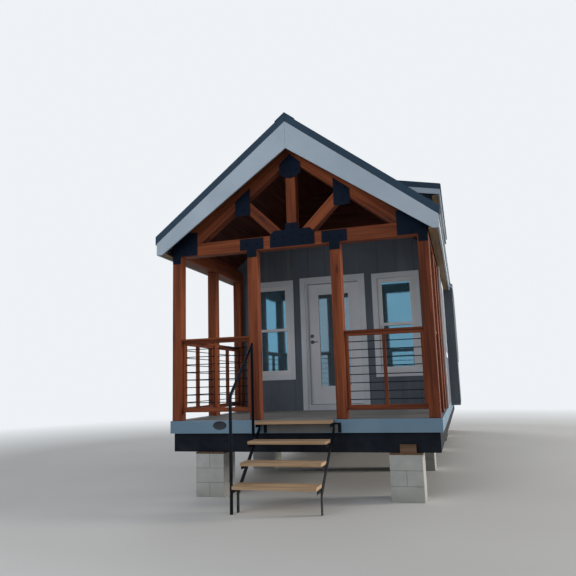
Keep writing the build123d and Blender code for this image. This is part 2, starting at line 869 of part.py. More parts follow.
def stair():
    """Treads on two steel stringers hung from a ledger on the rim."""
    treads = []
    for i in range(tread_count):
        nose, back, top = tread_place(i)
        treads.append(box(stair_left, stair_right, nose, back, top - tread_thickness, top))
    seat = deck_top - tread_thickness
    floor = rim_bottom + panel_foot
    low = seat - ledger_depth
    s0 = stair_left + strap_inset
    s1 = s0 + strap_left
    s3 = stair_right + strap_right
    s2 = s3 - strap_left
    ledger = box(stair_left - stringer_plate, s3, -tread_gap, 0, low, seat)
    ledger += box(s0, s1, -tread_gap, 0, floor, low)
    ledger += box(s2, s3, -tread_gap, 0, floor, low)
    panel = box(s1, s2, -panel_thickness, 0, floor, low)
    return {
        "stair_treads": treads,
        "stair_stringers": [stringer(stair_left, -1), stringer(stair_right, 1), ledger],
        "stair_hanger_panel": [panel],
    }


def handrail():
    """Bent tube from the ground up to a mitred corner, whose rear leg is fixed to the side bar."""
    top = deck_top + handrail_height
    bend_z = top - steep * (handrail_foot - handrail_leg)
    lug_top = stringer_top(-handrail_leg - lug_width / 2)
    lug_low = stringer_top(-handrail_leg + lug_width / 2) - stringer_depth
    path = FilletPolyline(
        (handrail_x, -handrail_foot, 0), (handrail_x, -handrail_foot, bend_z),
        (handrail_x, -handrail_leg, top), radius=handrail_bend)
    path += Line((handrail_x, -handrail_leg, top), (handrail_x, -handrail_leg, lug_low))
    ground = Plane((handrail_x, -handrail_foot, 0), z_dir=(0, 0, 1))
    tube = sweep(ground * Circle(handrail_radius), path=path, transition=Transition.RIGHT)
    lug = box(handrail_x, stair_left - stringer_plate, -handrail_leg - lug_width / 2,
              -handrail_leg + lug_width / 2, lug_low, lug_top)
    return {"stair_handrail": [tube + lug]}


# Door
def lock_set(y, out, lever):
    """Rose, neck and lever or turn on one face of the slab; out is the sign of its outward side along Y."""
    x = -door_width / 2 + lock_backset
    z = door_bottom + (lever_rise if lever else bolt_rise)
    face = Pos(x, y, z) * Rot(-90 * out, 0, 0)
    piece = face * extrude(RegularPolygon(rose_radius, rose_sides), rose_depth)
    piece += face * extrude(RegularPolygon(neck_radius, 12), neck_length)
    if lever:
        y0, y1 = sorted((y + out * (neck_length - neck_radius), y + out * neck_length))
        x0, z0 = x - neck_radius, z - lever_bar / 2
        piece += box(x0, x0 + lever_length, y0, y1, z0, z0 + lever_bar)
    return piece


def hinge(z, pin_x, pin_y):
    """Moving leaf with its two knuckles, and the fixed middle knuckle."""
    edge = door_width / 2
    leaf = box(edge, edge + hinge_leaf, door_back - hinge_reach, pin_y - knuckle_radius,
               z - hinge_height / 2, z + hinge_height / 2)
    for s in (-1, 1):
        zc = z + s * knuckle
        leaf += box(edge, pin_x, pin_y - 2 * knuckle_radius + 2, pin_y, zc - knuckle / 2, zc + knuckle / 2)
        leaf += Pos(pin_x, pin_y, zc - knuckle / 2) * extrude(RegularPolygon(knuckle_radius, 12), knuckle)
    short = knuckle - 1
    fixed = Pos(pin_x, pin_y, z - short / 2) * extrude(RegularPolygon(knuckle_radius, 12), short)
    fixed += box(pin_x - hinge_leaf, pin_x + knuckle_radius, door_back, pin_y, z - short / 2, z + short / 2)
    return leaf, fixed


def door():
    """Entrance door with its frame and hardware."""
    y0, y1 = door_front, door_back
    dx1 = door_width / 2
    dx0 = -dx1 + (door_latch_gap - door_gap)
    g0, g1 = door_bottom + door_glass_rise, door_top - door_glass_head
    gx = door_width / 2 - door_glass_side
    cut = box(-gx - lite_lip, gx + lite_lip, y0 - jamb, y1 + jamb, g0 - lite_lip, g1 + lite_lip)
    slab = box(dx0, dx1, y0, y1, door_bottom, door_top) - cut
    p0, p1 = y0 - lite_projection, y1 + lite_projection
    ring = box(-gx - lite_lip, gx + lite_lip, p0, p1, g0 - lite_lip, g1 + lite_lip)
    rim = lite_lip + lite_border
    for a, b in ((p0, y0), (y1, p1)):
        ring += box(-gx - rim, gx + rim, a, b, g0 - rim, g1 + rim)
    ring -= box(-gx, gx, p0 - jamb, p1 + jamb, g0, g1)
    middle = (y0 + y1) / 2
    glass = box(-gx, gx, middle - door_glass_thickness / 2, middle + door_glass_thickness / 2, g0, g1)
    jx = dx1 + door_gap
    sill_z = door_bottom - door_gap
    jamb_side = box(jx, jx + jamb, porch_depth, y1, deck_top, head_z)
    stop_strip = box(jx - stop, jx, porch_depth + stop, y0 - door_gap, sill_z, head_z - jamb)
    head = box(-jx, jx, porch_depth, y1, head_z - jamb, head_z)
    sill = box(-jx, jx, porch_depth - sill_overrun, y1, deck_top, sill_z)
    hardware = [lock_set(y, out, lever) for lever in (True, False) for y, out in ((y0, -1), (y1, 1))]
    pin_x, pin_y = jx + knuckle_radius - 2, y1 + 2 * knuckle_radius
    leaves, fittings = [], pair(stop_strip)
    for z in (door_bottom + hinge_offset, (door_bottom + door_top) / 2, door_top - hinge_offset):
        leaf, fixed = hinge(z, pin_x, pin_y)
        leaves.append(leaf)
        fittings.append(fixed)
    return {
        "door_jambs": pair(jamb_side),
        "door_head_and_sill": [head, sill],
        "door_slab": [slab],
        "door_lite_frame": [ring],
        "door_glass": [glass],
        "door_hardware": hardware,
        "door_hinges": leaves,
        "jamb_fittings": fittings,
    }


# Windows
def ring_y(w, z0, z1, y0, y1, bar):
    """Rectangular frame across X, centred on X = 0, with members as wide as bar."""
    outer = box(-w / 2, w / 2, y0, y1, z0, z1)
    return outer - box(-w / 2 + bar, w / 2 - bar, y0 - bar, y1 + bar, z0 + bar, z1 - bar)


def hung_window(w, h):
    """Double-hung window that faces -Y, with the wall's face at Y = 0 and the sill at Z = 0."""
    y0 = window_set_back
    y1 = y0 + frame_depth
    inner = w - 2 * frame_bar
    meet = h / 2
    frame = ring_y(w, 0, h, y0, y1, frame_bar)
    panes = []
    sashes = (
        (y0 + sash_set, meet - sash_bar / 2, h - frame_bar),
        (y1 - sash_set - sash_depth, frame_bar, meet + sash_bar / 2),
    )
    for ys, z0, z1 in sashes:
        frame += ring_y(inner, z0, z1, ys, ys + sash_depth, sash_bar)
        middle = ys + sash_depth / 2
        gx = inner / 2 - sash_bar
        panes.append(box(-gx, gx, middle - pane / 2, middle + pane / 2, z0 + sash_bar, z1 - sash_bar))
    trim = ring_y(w + 2 * casing, -casing, h + casing, -casing_thickness, 0, casing)
    return frame, panes, trim


def windows():
    """All windows: frames, panes and casings, and the casing of the doorway."""
    side = (side_window_width, side_window_height)
    sill = roof_z(half) + dormer_window_rise
    places = []
    for s in (-1, 1):
        places.append((window_width, window_height, Pos(s * window_x, porch_depth, window_sill)))
        turn = Rot(0, 0, 90 * s)
        places.append((dormer_window_width, dormer_window_height, Pos(s * half, dormer_middle, sill) * turn))
        for y in side_windows:
            places.append(side + (Pos(s * half, y, side_sill) * turn,))
    places.append(side + (Pos(-half, sum(side_windows) / 2, side_sill) * Rot(0, 0, -90),))
    places.append(side + (Pos(bay_outer, bay_middle, side_sill) * Rot(0, 0, 90),))
    places.append((rear_window_width, side_window_height, Pos(0, house_length, side_sill) * Rot(0, 0, 180)))
    frames, panes, trims = [], [], []
    for w, h, place in places:
        frame, glass, trim = hung_window(w, h)
        frames.append(place * frame)
        panes += [place * g for g in glass]
        trims.append(place * trim)
    outer = opening_half + casing
    y0, y1 = porch_depth - casing_thickness, porch_depth
    door_trim = box(-outer, outer, y0, y1, deck_top, head_z + casing)
    door_trim -= box(-opening_half, opening_half, y0 - casing, y1 + casing, deck_top - casing, head_z)
    return {"window_frames": frames, "window_glass": panes, "white_trim": trims + [door_trim]}


def corner_boards():
    """White boards on the outside corners of the body, up to the soffit."""
    top = roof_under(board_half) - barge_end_depth + soffit_rise
    boards = []
    for y in (porch_depth, house_length - corner_board_width):
        boards += pair(box(half, half + corner_board_thickness, y, y + corner_board_width, deck_top, top))
    return {"white_trim": boards}


def build():
    """Collect every node of the house."""
    nodes = {}
    for part in (chassis, running_gear, piers, platform, walls, roof, dormers, timber_frame, gusset_plates,
                 railings, stair, handrail, door, windows, corner_boards):
        for name, solids in part().items():
            nodes.setdefault(name, []).extend(solids)
    return nodes


# Footprint of the whole object, for the shift to its middle
x_low, x_high = -roof_half, bay_roof_half
y_low = -tread_nose - tread_run * (tread_count - 1)
y_high = roof_rear + cap_overrun
shift = Pos(-(x_low + x_high) / 2, -(y_low + y_high) / 2, 0)


def main():
    """Write one STEP file per node."""
    os.makedirs("parts", exist_ok=True)
    for name, solids in build().items():
        flat = []
        for shape in solids:
            flat += [shift * s for s in shape.solids()]
        body = flat[0] if len(flat) == 1 else Compound(children=flat)
        export_step(body, "parts/" + name + ".step")


if __name__ == "__main__":
    main()
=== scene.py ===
"""Looks of the wheeled tiny house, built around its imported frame.

House coordinates are metres with X = 0 on the ridge line, Y = 0 at the front face of the porch rim
and Z = 0 at the lowest contact with the ground; HOUSE_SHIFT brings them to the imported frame.
"""

import logging
import math
from dataclasses import dataclass, field
from enum import Enum

import bpy
import numpy as np
from bpy.types import Material, NodeSocket, Object
from mathutils import Matrix, Vector

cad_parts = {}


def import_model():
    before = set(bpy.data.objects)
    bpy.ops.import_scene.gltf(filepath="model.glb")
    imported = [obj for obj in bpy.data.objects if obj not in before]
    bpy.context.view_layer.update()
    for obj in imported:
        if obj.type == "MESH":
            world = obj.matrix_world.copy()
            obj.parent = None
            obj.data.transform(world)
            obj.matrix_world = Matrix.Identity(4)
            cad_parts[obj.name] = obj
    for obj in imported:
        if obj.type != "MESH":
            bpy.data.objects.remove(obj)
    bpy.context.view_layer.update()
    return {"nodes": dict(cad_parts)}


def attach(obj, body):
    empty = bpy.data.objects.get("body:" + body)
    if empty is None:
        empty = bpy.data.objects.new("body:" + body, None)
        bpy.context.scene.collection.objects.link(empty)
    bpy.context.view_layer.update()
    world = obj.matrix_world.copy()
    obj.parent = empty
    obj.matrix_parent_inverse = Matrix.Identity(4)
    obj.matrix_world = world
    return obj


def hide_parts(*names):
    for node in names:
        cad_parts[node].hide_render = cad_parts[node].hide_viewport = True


LOG = logging.getLogger("tiny_house")
HOUSE_SHIFT = np.array([-0.0225, -4.7715, 0.0])
HOUSE = "house"
DOOR = "front_door"


class Axis(Enum):
    """Direction in which the fibres of a board run."""

    X = 0
    Y = 1
    Z = 2


@dataclass(frozen=True)
class Levels:
    """Main lengths of the house in metres, the same as the source of the solids."""

    half: float = 1.8
    porch: float = 2.44
    wall: float = 0.12
    length: float = 10.365
    deck: float = 0.975
    chassis: float = 0.57
    pier_cap: float = 0.549
    ridge: float = 5.075
    slope: float = 0.79
    roof_thick: float = 0.12
    roof_half: float = 1.95
    post: float = 0.14
    post_front: float = 0.022
    post_outer: float = 1.785
    middle_post: float = 0.58
    side_post: float = 1.205
    beam_low: float = 3.24985
    beam_high: float = 3.43385
    chord_low: float = 4.485
    chord_high: float = 4.72
    strut_gap: float = 0.015
    ceiling: float = 0.024
    door_bottom: float = 1.072
    door_back: float = 2.56
    axle_rows: tuple = (6.4, 7.26)
    tyre_radius: float = 0.352

    def roof(self, x: float) -> float:
        """Height of the main roof's top at a distance x from the ridge."""
        return self.ridge - self.slope * abs(x)

    def under(self, x: float) -> float:
        """Height of the main roof's underside."""
        return self.roof(x) - self.roof_thick


LEVELS = Levels()


# Surfaces


def placed(name: str, data: bpy.types.ID) -> Object:
    """Add an object of a mesh, a lamp or a camera to the scene.

    Args:
        name: Name of the object.
        data: What it shows.

    Returns:
        The object, at the origin and unturned.
    """
    thing = bpy.data.objects.new(name, data)
    bpy.context.scene.collection.objects.link(thing)
    return thing


@dataclass
class Pile:
    """Surfaces gathered for one mesh, with the place of every point in its board's fibres."""

    points: list = field(default_factory=list)
    fibres: list = field(default_factory=list)
    faces: list = field(default_factory=list)
    soft: list = field(default_factory=list)
    count: int = 0
    seed: int = 7

    def add(self, points: np.ndarray, faces: list, fibres: np.ndarray, soft: bool = False) -> None:
        """Add one closed surface.

        Args:
            points: Array of shape (n, 3) in house coordinates.
            faces: Lists of point numbers, outward side counter-clockwise.
            fibres: Array of shape (n, 3): metres along, across and through the board.
            soft: Whether its faces are shaded as one smooth surface.
        """
        self.points.append(points)
        self.fibres.append(fibres)
        self.faces.extend([[v + self.count for v in face] for face in faces])
        self.soft.extend([soft] * len(faces))
        self.count += len(points)

    def chance(self) -> np.ndarray:
        """Offset in metres that gives every board its own cut of the log."""
        self.seed += 1
        return np.random.default_rng(self.seed).uniform(-40.0, 40.0, 3)

    def build(self, name: str, material: Material, slot: str, replaces: tuple = (),
              body: str = HOUSE) -> None:
        """Make one object of all gathered surfaces.

        Args:
            name: Name of the piece.
            material: Its finish.
            slot: Material slot of the record that the finish belongs to; not used.
            replaces: CAD nodes that it stands for.
            body: CAD body that it rides on.
        """
        mesh = bpy.data.meshes.new(name)
        points = np.concatenate(self.points) + HOUSE_SHIFT
        mesh.from_pydata(points.tolist(), [], self.faces)
        mesh.polygons.foreach_set("use_smooth", np.array(self.soft, dtype=bool))
        layer = mesh.attributes.new("fibre", "FLOAT_VECTOR", "POINT")
        layer.data.foreach_set("vector", np.concatenate(self.fibres).astype(np.float32).ravel())
        mesh.update()
        mesh.materials.append(material)
        piece = placed(name, mesh)
        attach(piece, body)
        if replaces:
            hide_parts(*replaces)
        LOG.info("%s: %d faces", name, len(self.faces))


def skin(pile: Pile, grid: np.ndarray, fibres: np.ndarray, closed: bool = False,
         caps: bool = True, soft: bool = False) -> None:
    """Cover a grid of rings with faces: point (i, j) is joined to its neighbours in i and j.

    Args:
        pile: Where the surface goes.
        grid: Array (rings, points round a ring, 3), counter-clockwise seen from the last ring.
        fibres: Array of the same shape with the place in the fibres.
        closed: Whether the last ring joins the first one.
        caps: Whether the end rings are filled.
        soft: Whether the sides are shaded smooth.
    """
    rings, around = grid.shape[:2]
    number = np.arange(rings * around).reshape(rings, around)
    after = np.roll(number, -1, axis=1)
    if closed:
        low, high = number, np.roll(number, -1, axis=0)
        low_after, high_after = after, np.roll(after, -1, axis=0)
    else:
        low, high, low_after, high_after = number[:-1], number[1:], after[:-1], after[1:]
    quads = np.stack([low, low_after, high_after, high], axis=-1).reshape(-1, 4).tolist()
    pile.add(grid.reshape(-1, 3), quads, fibres.reshape(-1, 3), soft)
    if caps and not closed:
        base = pile.count - rings * around
        pile.faces.append([base + v for v in number[0][::-1].tolist()])
        pile.faces.append([base + v for v in number[-1].tolist()])
        pile.soft.extend([False, False])


def inset(outline: np.ndarray, by: float) -> np.ndarray:
    """Outline moved inwards: each corner goes along the sum of its two edge normals.

    Args:
        outline: Array (n, 2), counter-clockwise.
        by: Distance between the old and the new edges.

    Returns:
        Array (n, 2) of the new corners.
    """
    edge = np.roll(outline, -1, axis=0) - outline
    normal = np.stack([-edge[:, 1], edge[:, 0]], axis=1)
    normal /= np.linalg.norm(normal, axis=1, keepdims=True)
    before = np.roll(normal, 1, axis=0)
    total = normal + before
    return outline + by * total / (1 + np.sum(normal * before, axis=1, keepdims=True))


def prism(pile: Pile, outline: list, start: float, end: float, across: Axis = Axis.Y,
          ease: float = 0.004, lean: float = 0.0) -> None:
    """Board of any outline with eased edges: the outline is carried from start to end.

    The outline lies in X and Z (across Y), in Y and Z (across X) or in X and Y (across Z).
    The first and the last ring are the outline moved inwards by the easing.

    Args:
        pile: Where the board goes.
        outline: Corners as pairs of metres.
        start: First level along the axis across the outline.
        end: Last level.
        across: Axis along which the outline is carried.
        ease: Width of the eased edge.
        lean: Angle of the fibres in the outline's plane, from its first axis.
    """
    flat = np.array(outline, dtype=float)
    area = np.sum(flat[:, 0] * np.roll(flat[:, 1], -1) - np.roll(flat[:, 0], -1) * flat[:, 1])
    if area < 0:
        flat = flat[::-1]
    places = [(start, True), (start + ease, False), (end - ease, False), (end, True)]
    if across is Axis.Y:
        places = places[::-1]
    small = inset(flat, ease)
    rings = []
    for level, tight in places:
        ring = small if tight else flat
        column = np.full((len(ring), 1), level)
        if across is Axis.Y:
            rings.append(np.hstack([ring[:, :1], column, ring[:, 1:]]))
        elif across is Axis.X:
            rings.append(np.hstack([column, ring]))
        else:
            rings.append(np.hstack([ring, column]))
    grid = np.stack(rings)
    first, second = {Axis.Y: (0, 2), Axis.X: (1, 2), Axis.Z: (0, 1)}[across]
    p, q, d = grid[..., first], grid[..., second], grid[..., across.value]
    c, s = math.cos(lean), math.sin(lean)
    fibres = np.stack([p * c + q * s, q * c - p * s, d], axis=-1) + pile.chance()
    skin(pile, grid, fibres)


def board(pile: Pile, low: tuple, high: tuple, grain: Axis, ease: float = 0.004) -> None:
    """Straight board between two corners, its four long edges eased.

    Args:
        pile: Where the board goes.
        low: Lowest corner in house coordinates.
        high: Highest corner.
        grain: Axis along which it was sawn.
        ease: Width of the eased edge.
    """
    (x0, y0, z0), (x1, y1, z1) = low, high
    if grain is Axis.X:
        prism(pile, [(x0, z0), (x1, z0), (x1, z1), (x0, z1)], y0, y1, Axis.Y, ease, 0.0)
    elif grain is Axis.Z:
        prism(pile, [(x0, z0), (x1, z0), (x1, z1), (x0, z1)], y0, y1, Axis.Y, ease, math.pi / 2)
    else:
        prism(pile, [(y0, z0), (y1, z0), (y1, z1), (y0, z1)], x0, x1, Axis.X, ease, 0.0)


def turned(pile: Pile, centre: tuple, axis: tuple, profile: list | tuple, sides: int,
           stretch: float = 1.0, closed: bool = False, soft: bool = True) -> None:
    """Turned piece: a profile swept round an axis.

    Point = centre + axis * height + radius * (cos * e1 + stretch * sin * e2).

    Args:
        pile: Where the piece goes.
        centre: Point of the axis at height 0.
        axis: Unit direction of the axis.
        profile: Height along the axis and radius of each ring.
        sides: Points round a ring.
        stretch: Factor on the second radial direction, for an oval.
        closed: Whether the profile is a loop, as on a tyre.
        soft: Whether it is shaded smooth.
    """
    a = np.array(axis, dtype=float)
    helper = np.array([0.0, 0.0, 1.0]) if abs(a[2]) < 0.9 else np.array([1.0, 0.0, 0.0])
    e1 = np.cross(helper, a)
    e1 /= np.linalg.norm(e1)
    e2 = np.cross(a, e1)
    turn = np.linspace(0.0, 2 * math.pi, sides, endpoint=False)
    ring = np.cos(turn)[:, None] * e1 + stretch * np.sin(turn)[:, None] * e2
    h, r = np.array(profile, dtype=float).T[:, :, None, None]
    grid = np.array(centre, dtype=float) + a * h + ring[None] * r
    skin(pile, grid, grid - np.array(centre, dtype=float), closed=closed, soft=soft)


def tube(pile: Pile, path: np.ndarray, radius: float, sides: int, normal: np.ndarray) -> None:
    """Round bar along a flat path: a circle is carried square to the path and mitred at its corners.

    A ring lies in the plane that halves the corner, so it is longer there by 1 / cos(half the turn).

    Args:
        pile: Where the bar goes.
        path: Array (n, 3) of its centre line.
        radius: Radius of the bar.
        sides: Points round the bar.
        normal: Unit direction square to the plane of the path.
    """
    runs = np.diff(path, axis=0)
    runs /= np.linalg.norm(runs, axis=1, keepdims=True)
    before, after = np.vstack([runs[:1], runs]), np.vstack([runs, runs[-1:]])
    along = before + after
    along /= np.linalg.norm(along, axis=1, keepdims=True)
    longer = 1.0 / np.sum(along * after, axis=1, keepdims=True)
    first = np.broadcast_to(normal, path.shape)
    second = np.cross(along, first) * longer
    turn = np.linspace(0.0, 2 * math.pi, sides, endpoint=False)
    offset = np.cos(turn)[None, :, None] * first[:, None] + np.sin(turn)[None, :, None] * second[:, None]
    grid = path[:, None] + radius * offset
    step = np.linalg.norm(np.diff(path, axis=0, prepend=path[:1]), axis=1)
    run = np.broadcast_to(np.cumsum(step)[:, None], grid.shape[:2])
    wrap = np.broadcast_to((turn * radius)[None], grid.shape[:2])
    skin(pile, grid, np.stack([run, wrap, wrap * 0.0], axis=-1), soft=True)


def hex_bolt(pile: Pile, centre: tuple, axis: tuple, across_flats: float = 0.024) -> None:
    """Bolt head on a round washer, standing out of a surface along the axis.

    Args:
        pile: Where the bolt goes.
        centre: Point of the surface.
        axis: Unit direction out of it.
        across_flats: Width of the head.
    """
    r = across_flats / math.sqrt(3)
    turned(pile, centre, axis, [(0.0, 1.7 * r), (0.002, 1.7 * r), (0.003, 1.55 * r)], 12, soft=False)
    turned(pile, centre, axis, [(0.003, r), (0.010, r), (0.012, 0.86 * r)], 6, soft=False)


# Finishes


@dataclass(frozen=True)
class Value:
    """Output of a node; arithmetic with it adds Math nodes to the same graph."""

    graph: "Graph"
    socket: NodeSocket

    def __add__(self, other: object) -> "Value":
        """Sum with another value or a plain number."""
        return self.graph.math("ADD", self, other)

    def __sub__(self, other: object) -> "Value":
        """This less another."""
        return self.graph.math("SUBTRACT", self, other)

    def __rsub__(self, other: float) -> "Value":
        """A plain number less this."""
        return self.graph.math("SUBTRACT", other, self)

    def __mul__(self, other: object) -> "Value":
        """Product with another value or a plain number."""
        return self.graph.math("MULTIPLY", self, other)

    def __truediv__(self, other: object) -> "Value":
        """This divided by another."""
        return self.graph.math("DIVIDE", self, other)

    def __abs__(self) -> "Value":
        """Its size without the sign."""
        return self.graph.math("ABSOLUTE", self)


class Graph:
    """Shorthand for wiring the nodes of one tree."""

    def __init__(self, owner: bpy.types.ID) -> None:
        """Start the empty tree of a material or a world.

        Args:
            owner: The material or the world.
        """
        owner.use_nodes = True
        self.tree = owner.node_tree
        self.tree.nodes.clear()

    def put(self, socket: NodeSocket, value: object) -> None:
        """Link a socket to an output, or set its plain value.

        Args:
            socket: Input of a node.
            value: An output, a number, a colour or a text.
        """
        if isinstance(value, Value):
            value = value.socket
        if isinstance(value, NodeSocket):
            self.tree.links.new(value, socket)
        elif isinstance(value, tuple) and len(value) == 3 and socket.type == "RGBA":
            socket.default_value = (*value, 1.0)
        else:
            socket.default_value = value

    def node(self, kind: str, output: int | str | None, inputs: dict, **options: object) -> Value | None:
        """Add a node to the graph.

        Args:
            kind: Type of the node without its common first part.
            output: Number or name of the wanted output, or None.
            inputs: Values of the inputs by number or name.
            options: Settings of the node itself.

        Returns:
            The wanted output.
        """
        node = self.tree.nodes.new("ShaderNode" + kind)
        for name, value in options.items():
            setattr(node, name, value)
        for key, value in inputs.items():
            self.put(node.inputs[key], value)
        return None if output is None else Value(self, node.outputs[output])

    def math(self, operation: str, a: object, b: object = 0.0) -> Value:
        """Math node of one operation on two numbers."""
        return self.node("Math", 0, {0: a, 1: b}, operation=operation)


class Sketch(Graph):
    """Material wired round a Principled shader."""

    def __init__(self, name: str) -> None:
        """Start a material with a shader and an output.

        Args:
            name: Name of the material.
        """
        self.material = bpy.data.materials.new(name)
        super().__init__(self.material)
        self.shader = self.tree.nodes.new("ShaderNodeBsdfPrincipled")
        self.output = self.tree.nodes.new("ShaderNodeOutputMaterial")
        self.put(self.output.inputs["Surface"], self.shader.outputs["BSDF"])

    def place(self) -> Value:
        """Object coordinates in metres."""
        return self.node("TexCoord", "Object", {})

    def fibre(self) -> Value:
        """Place of a point in its board: along, across and through, in metres."""
        return self.node("Attribute", "Vector", {}, attribute_name="fibre")

    def parts(self, vector: Value) -> list:
        """The three numbers of a vector."""
        return [self.node("SeparateXYZ", k, {0: vector}) for k in range(3)]

    def joined(self, x: object, y: object, z: object) -> Value:
        """Vector of three numbers."""
        return self.node("CombineXYZ", 0, {0: x, 1: y, 2: z})

    def noise(self, vector: Value, scale: float | tuple, detail: float = 3.0, rough: float = 0.5,
              warp: float = 0.0) -> Value:
        """Soft noise between 0 and 1.

        Args:
            vector: Where it is looked up.
            scale: Cycles per metre, or one such number for each axis.
            detail: Number of finer layers.
            rough: Strength of the finer layers.
            warp: How far it is distorted.

        Returns:
            The noise.
        """
        if isinstance(scale, tuple):
            vector, scale = self.scaled(vector, scale), 1.0
        return self.node("TexNoise", "Fac", {"Vector": vector, "Scale": scale, "Detail": detail,
                                             "Roughness": rough, "Distortion": warp})

    def scaled(self, vector: Value, scale: tuple) -> Value:
        """Vector times a scale of its own on each axis."""
        return self.node("Mapping", "Vector", {"Vector": vector, "Scale": scale})

    def cells(self, vector: Value, scale: float) -> Value:
        """Distance to the nearest of scattered points."""
        return self.node("TexVoronoi", "Distance", {"Vector": vector, "Scale": scale})

    def span(self, value: object, low: float, high: float, first: float = 0.0, last: float = 1.0) -> Value:
        """Value stretched from one range to another and held at its ends."""
        return self.node("MapRange", 0, dict(enumerate((value, low, high, first, last))))

    def blend(self, amount: object, a: object, b: object) -> Value:
        """Colour between a and b."""
        return self.node("Mix", 2, {0: amount, 6: a, 7: b}, data_type="RGBA")

    def finish(self, colour: object, rough: object, height: object = None, depth: float = 0.001,
               settings: dict | None = None) -> Material:
        """Wire the last values into the shader.

        Args:
            colour: Base colour.
            rough: Roughness.
            height: The relief, or None.
            depth: Metres that the relief spans.
            settings: Plain values for other sockets of the shader.

        Returns:
            The finished material.
        """
        values = {"Base Color": colour, "Roughness": rough, **(settings or {})}
        if height is not None:
            values["Normal"] = self.node("Bump", "Normal",
                                         {"Distance": depth, "Strength": 1.0, "Height": height})
        for name, value in values.items():
            self.put(self.shader.inputs[name], value)
        return self.material


@dataclass(frozen=True)
class Sawn:
    """Wood with fibres: long streaks, growth bands, knots and fine pores."""

    name: str
    dark: tuple
    light: tuple
    knot: tuple
    knots: float = 0.75
    rough: float = 0.55
    gloss: float = 0.2
    relief: float = 0.0012
    fibred: bool = True
    wear: tuple | None = None

    def vector(self, sketch: Sketch) -> Value:
        """Fibre coordinates: the piece's own, or Object coordinates with the grain along Y.

        Args:
            sketch: Graph of the material.

        Returns:
            The coordinates.
        """
        if self.fibred:
            return sketch.fibre()
        x, y, z = sketch.parts(sketch.place())
        return sketch.joined(y, x, z)

    def dress(self) -> Material:
        """Build the material.

        Returns:
            The material.
        """
        s = Sketch(self.name)
        grain = self.vector(s)
        bands = s.noise(grain, (0.5, 9.0, 9.0), 4.0, 0.55, 0.6)
        streaks = s.noise(grain, (1.6, 70.0, 70.0), 5.0, 0.6)
        pores = s.noise(grain, (9.0, 420.0, 420.0), 2.0)
        spots = s.cells(s.scaled(grain, (1.35, 5.2, 5.2)), 1.0)
        knot = s.span(spots, 0.05, 0.13, self.knots, 0.0)
        ring = s.span(spots, 0.08, 0.34, 0.5 * self.knots, 0.0)
        colour = s.blend(s.span(bands * 0.62 + streaks * 0.38, 0.38, 0.62), self.dark, self.light)
        colour = s.blend(knot, s.blend(ring, colour, self.dark), self.knot)
        if self.wear is not None:
            patch = s.noise(s.place(), 2.3, 5.0, 0.6)
            colour = s.blend(s.span(patch, 0.48, 0.72, 0.0, 0.75), colour, self.wear)
        rough = s.span(streaks, 0.3, 0.7, self.rough + 0.1, self.rough - 0.08)
        height = streaks * 0.6 + pores * 0.4 - knot * 0.3
        return s.finish(colour, rough, height, self.relief, {"Specular IOR Level": self.gloss})


@dataclass(frozen=True)
class Painted:
    """Paint on wood or steel, or vinyl, with faint grain, uneven sheen and dust near the ground."""

    name: str
    colour: tuple
    shade: tuple
    rough: float = 0.5
    relief: float = 0.0004
    pull: tuple = (8.0, 8.0, 90.0)
    dust: tuple = (0.30, 0.26, 0.21)
    dust_top: float = 0.9
    dust_amount: float = 0.25
    rust: float = 0.0
    rust_colour: tuple = (0.16, 0.06, 0.025)
    gloss: float = 0.5

    def dress(self) -> Material:
        """Build the material.

        Returns:
            The material.
        """
        s = Sketch(self.name)
        place = s.place()
        brush = s.noise(place, self.pull, 4.0, 0.6)
        cloud = s.noise(place, 1.7, 4.0, 0.55)
        speck = s.noise(place, 55.0, 3.0, 0.6)
        colour = s.blend(s.span(cloud, 0.35, 0.65), self.shade, self.colour)
        colour = s.blend(s.span(brush, 0.35, 0.7, 0.0, 0.35), colour, self.shade)
        low = s.span(s.parts(place)[2], 0.0, self.dust_top, self.dust_amount, 0.0)
        grime = low * s.span(s.noise(place, 6.0, 5.0, 0.65), 0.35, 0.7)
        colour = s.blend(grime, colour, self.dust)
        if self.rust > 0:
            spots = s.span(speck, 0.62, 0.72) * s.span(cloud, 0.45, 0.65)
            colour = s.blend(spots * self.rust, colour, self.rust_colour)
        rough = s.span(speck, 0.3, 0.7, self.rough - 0.06, self.rough + 0.08) + grime * 0.3
        height = brush * 0.7 + speck * 0.3
        return s.finish(colour, rough, height, self.relief, {"Specular IOR Level": self.gloss})


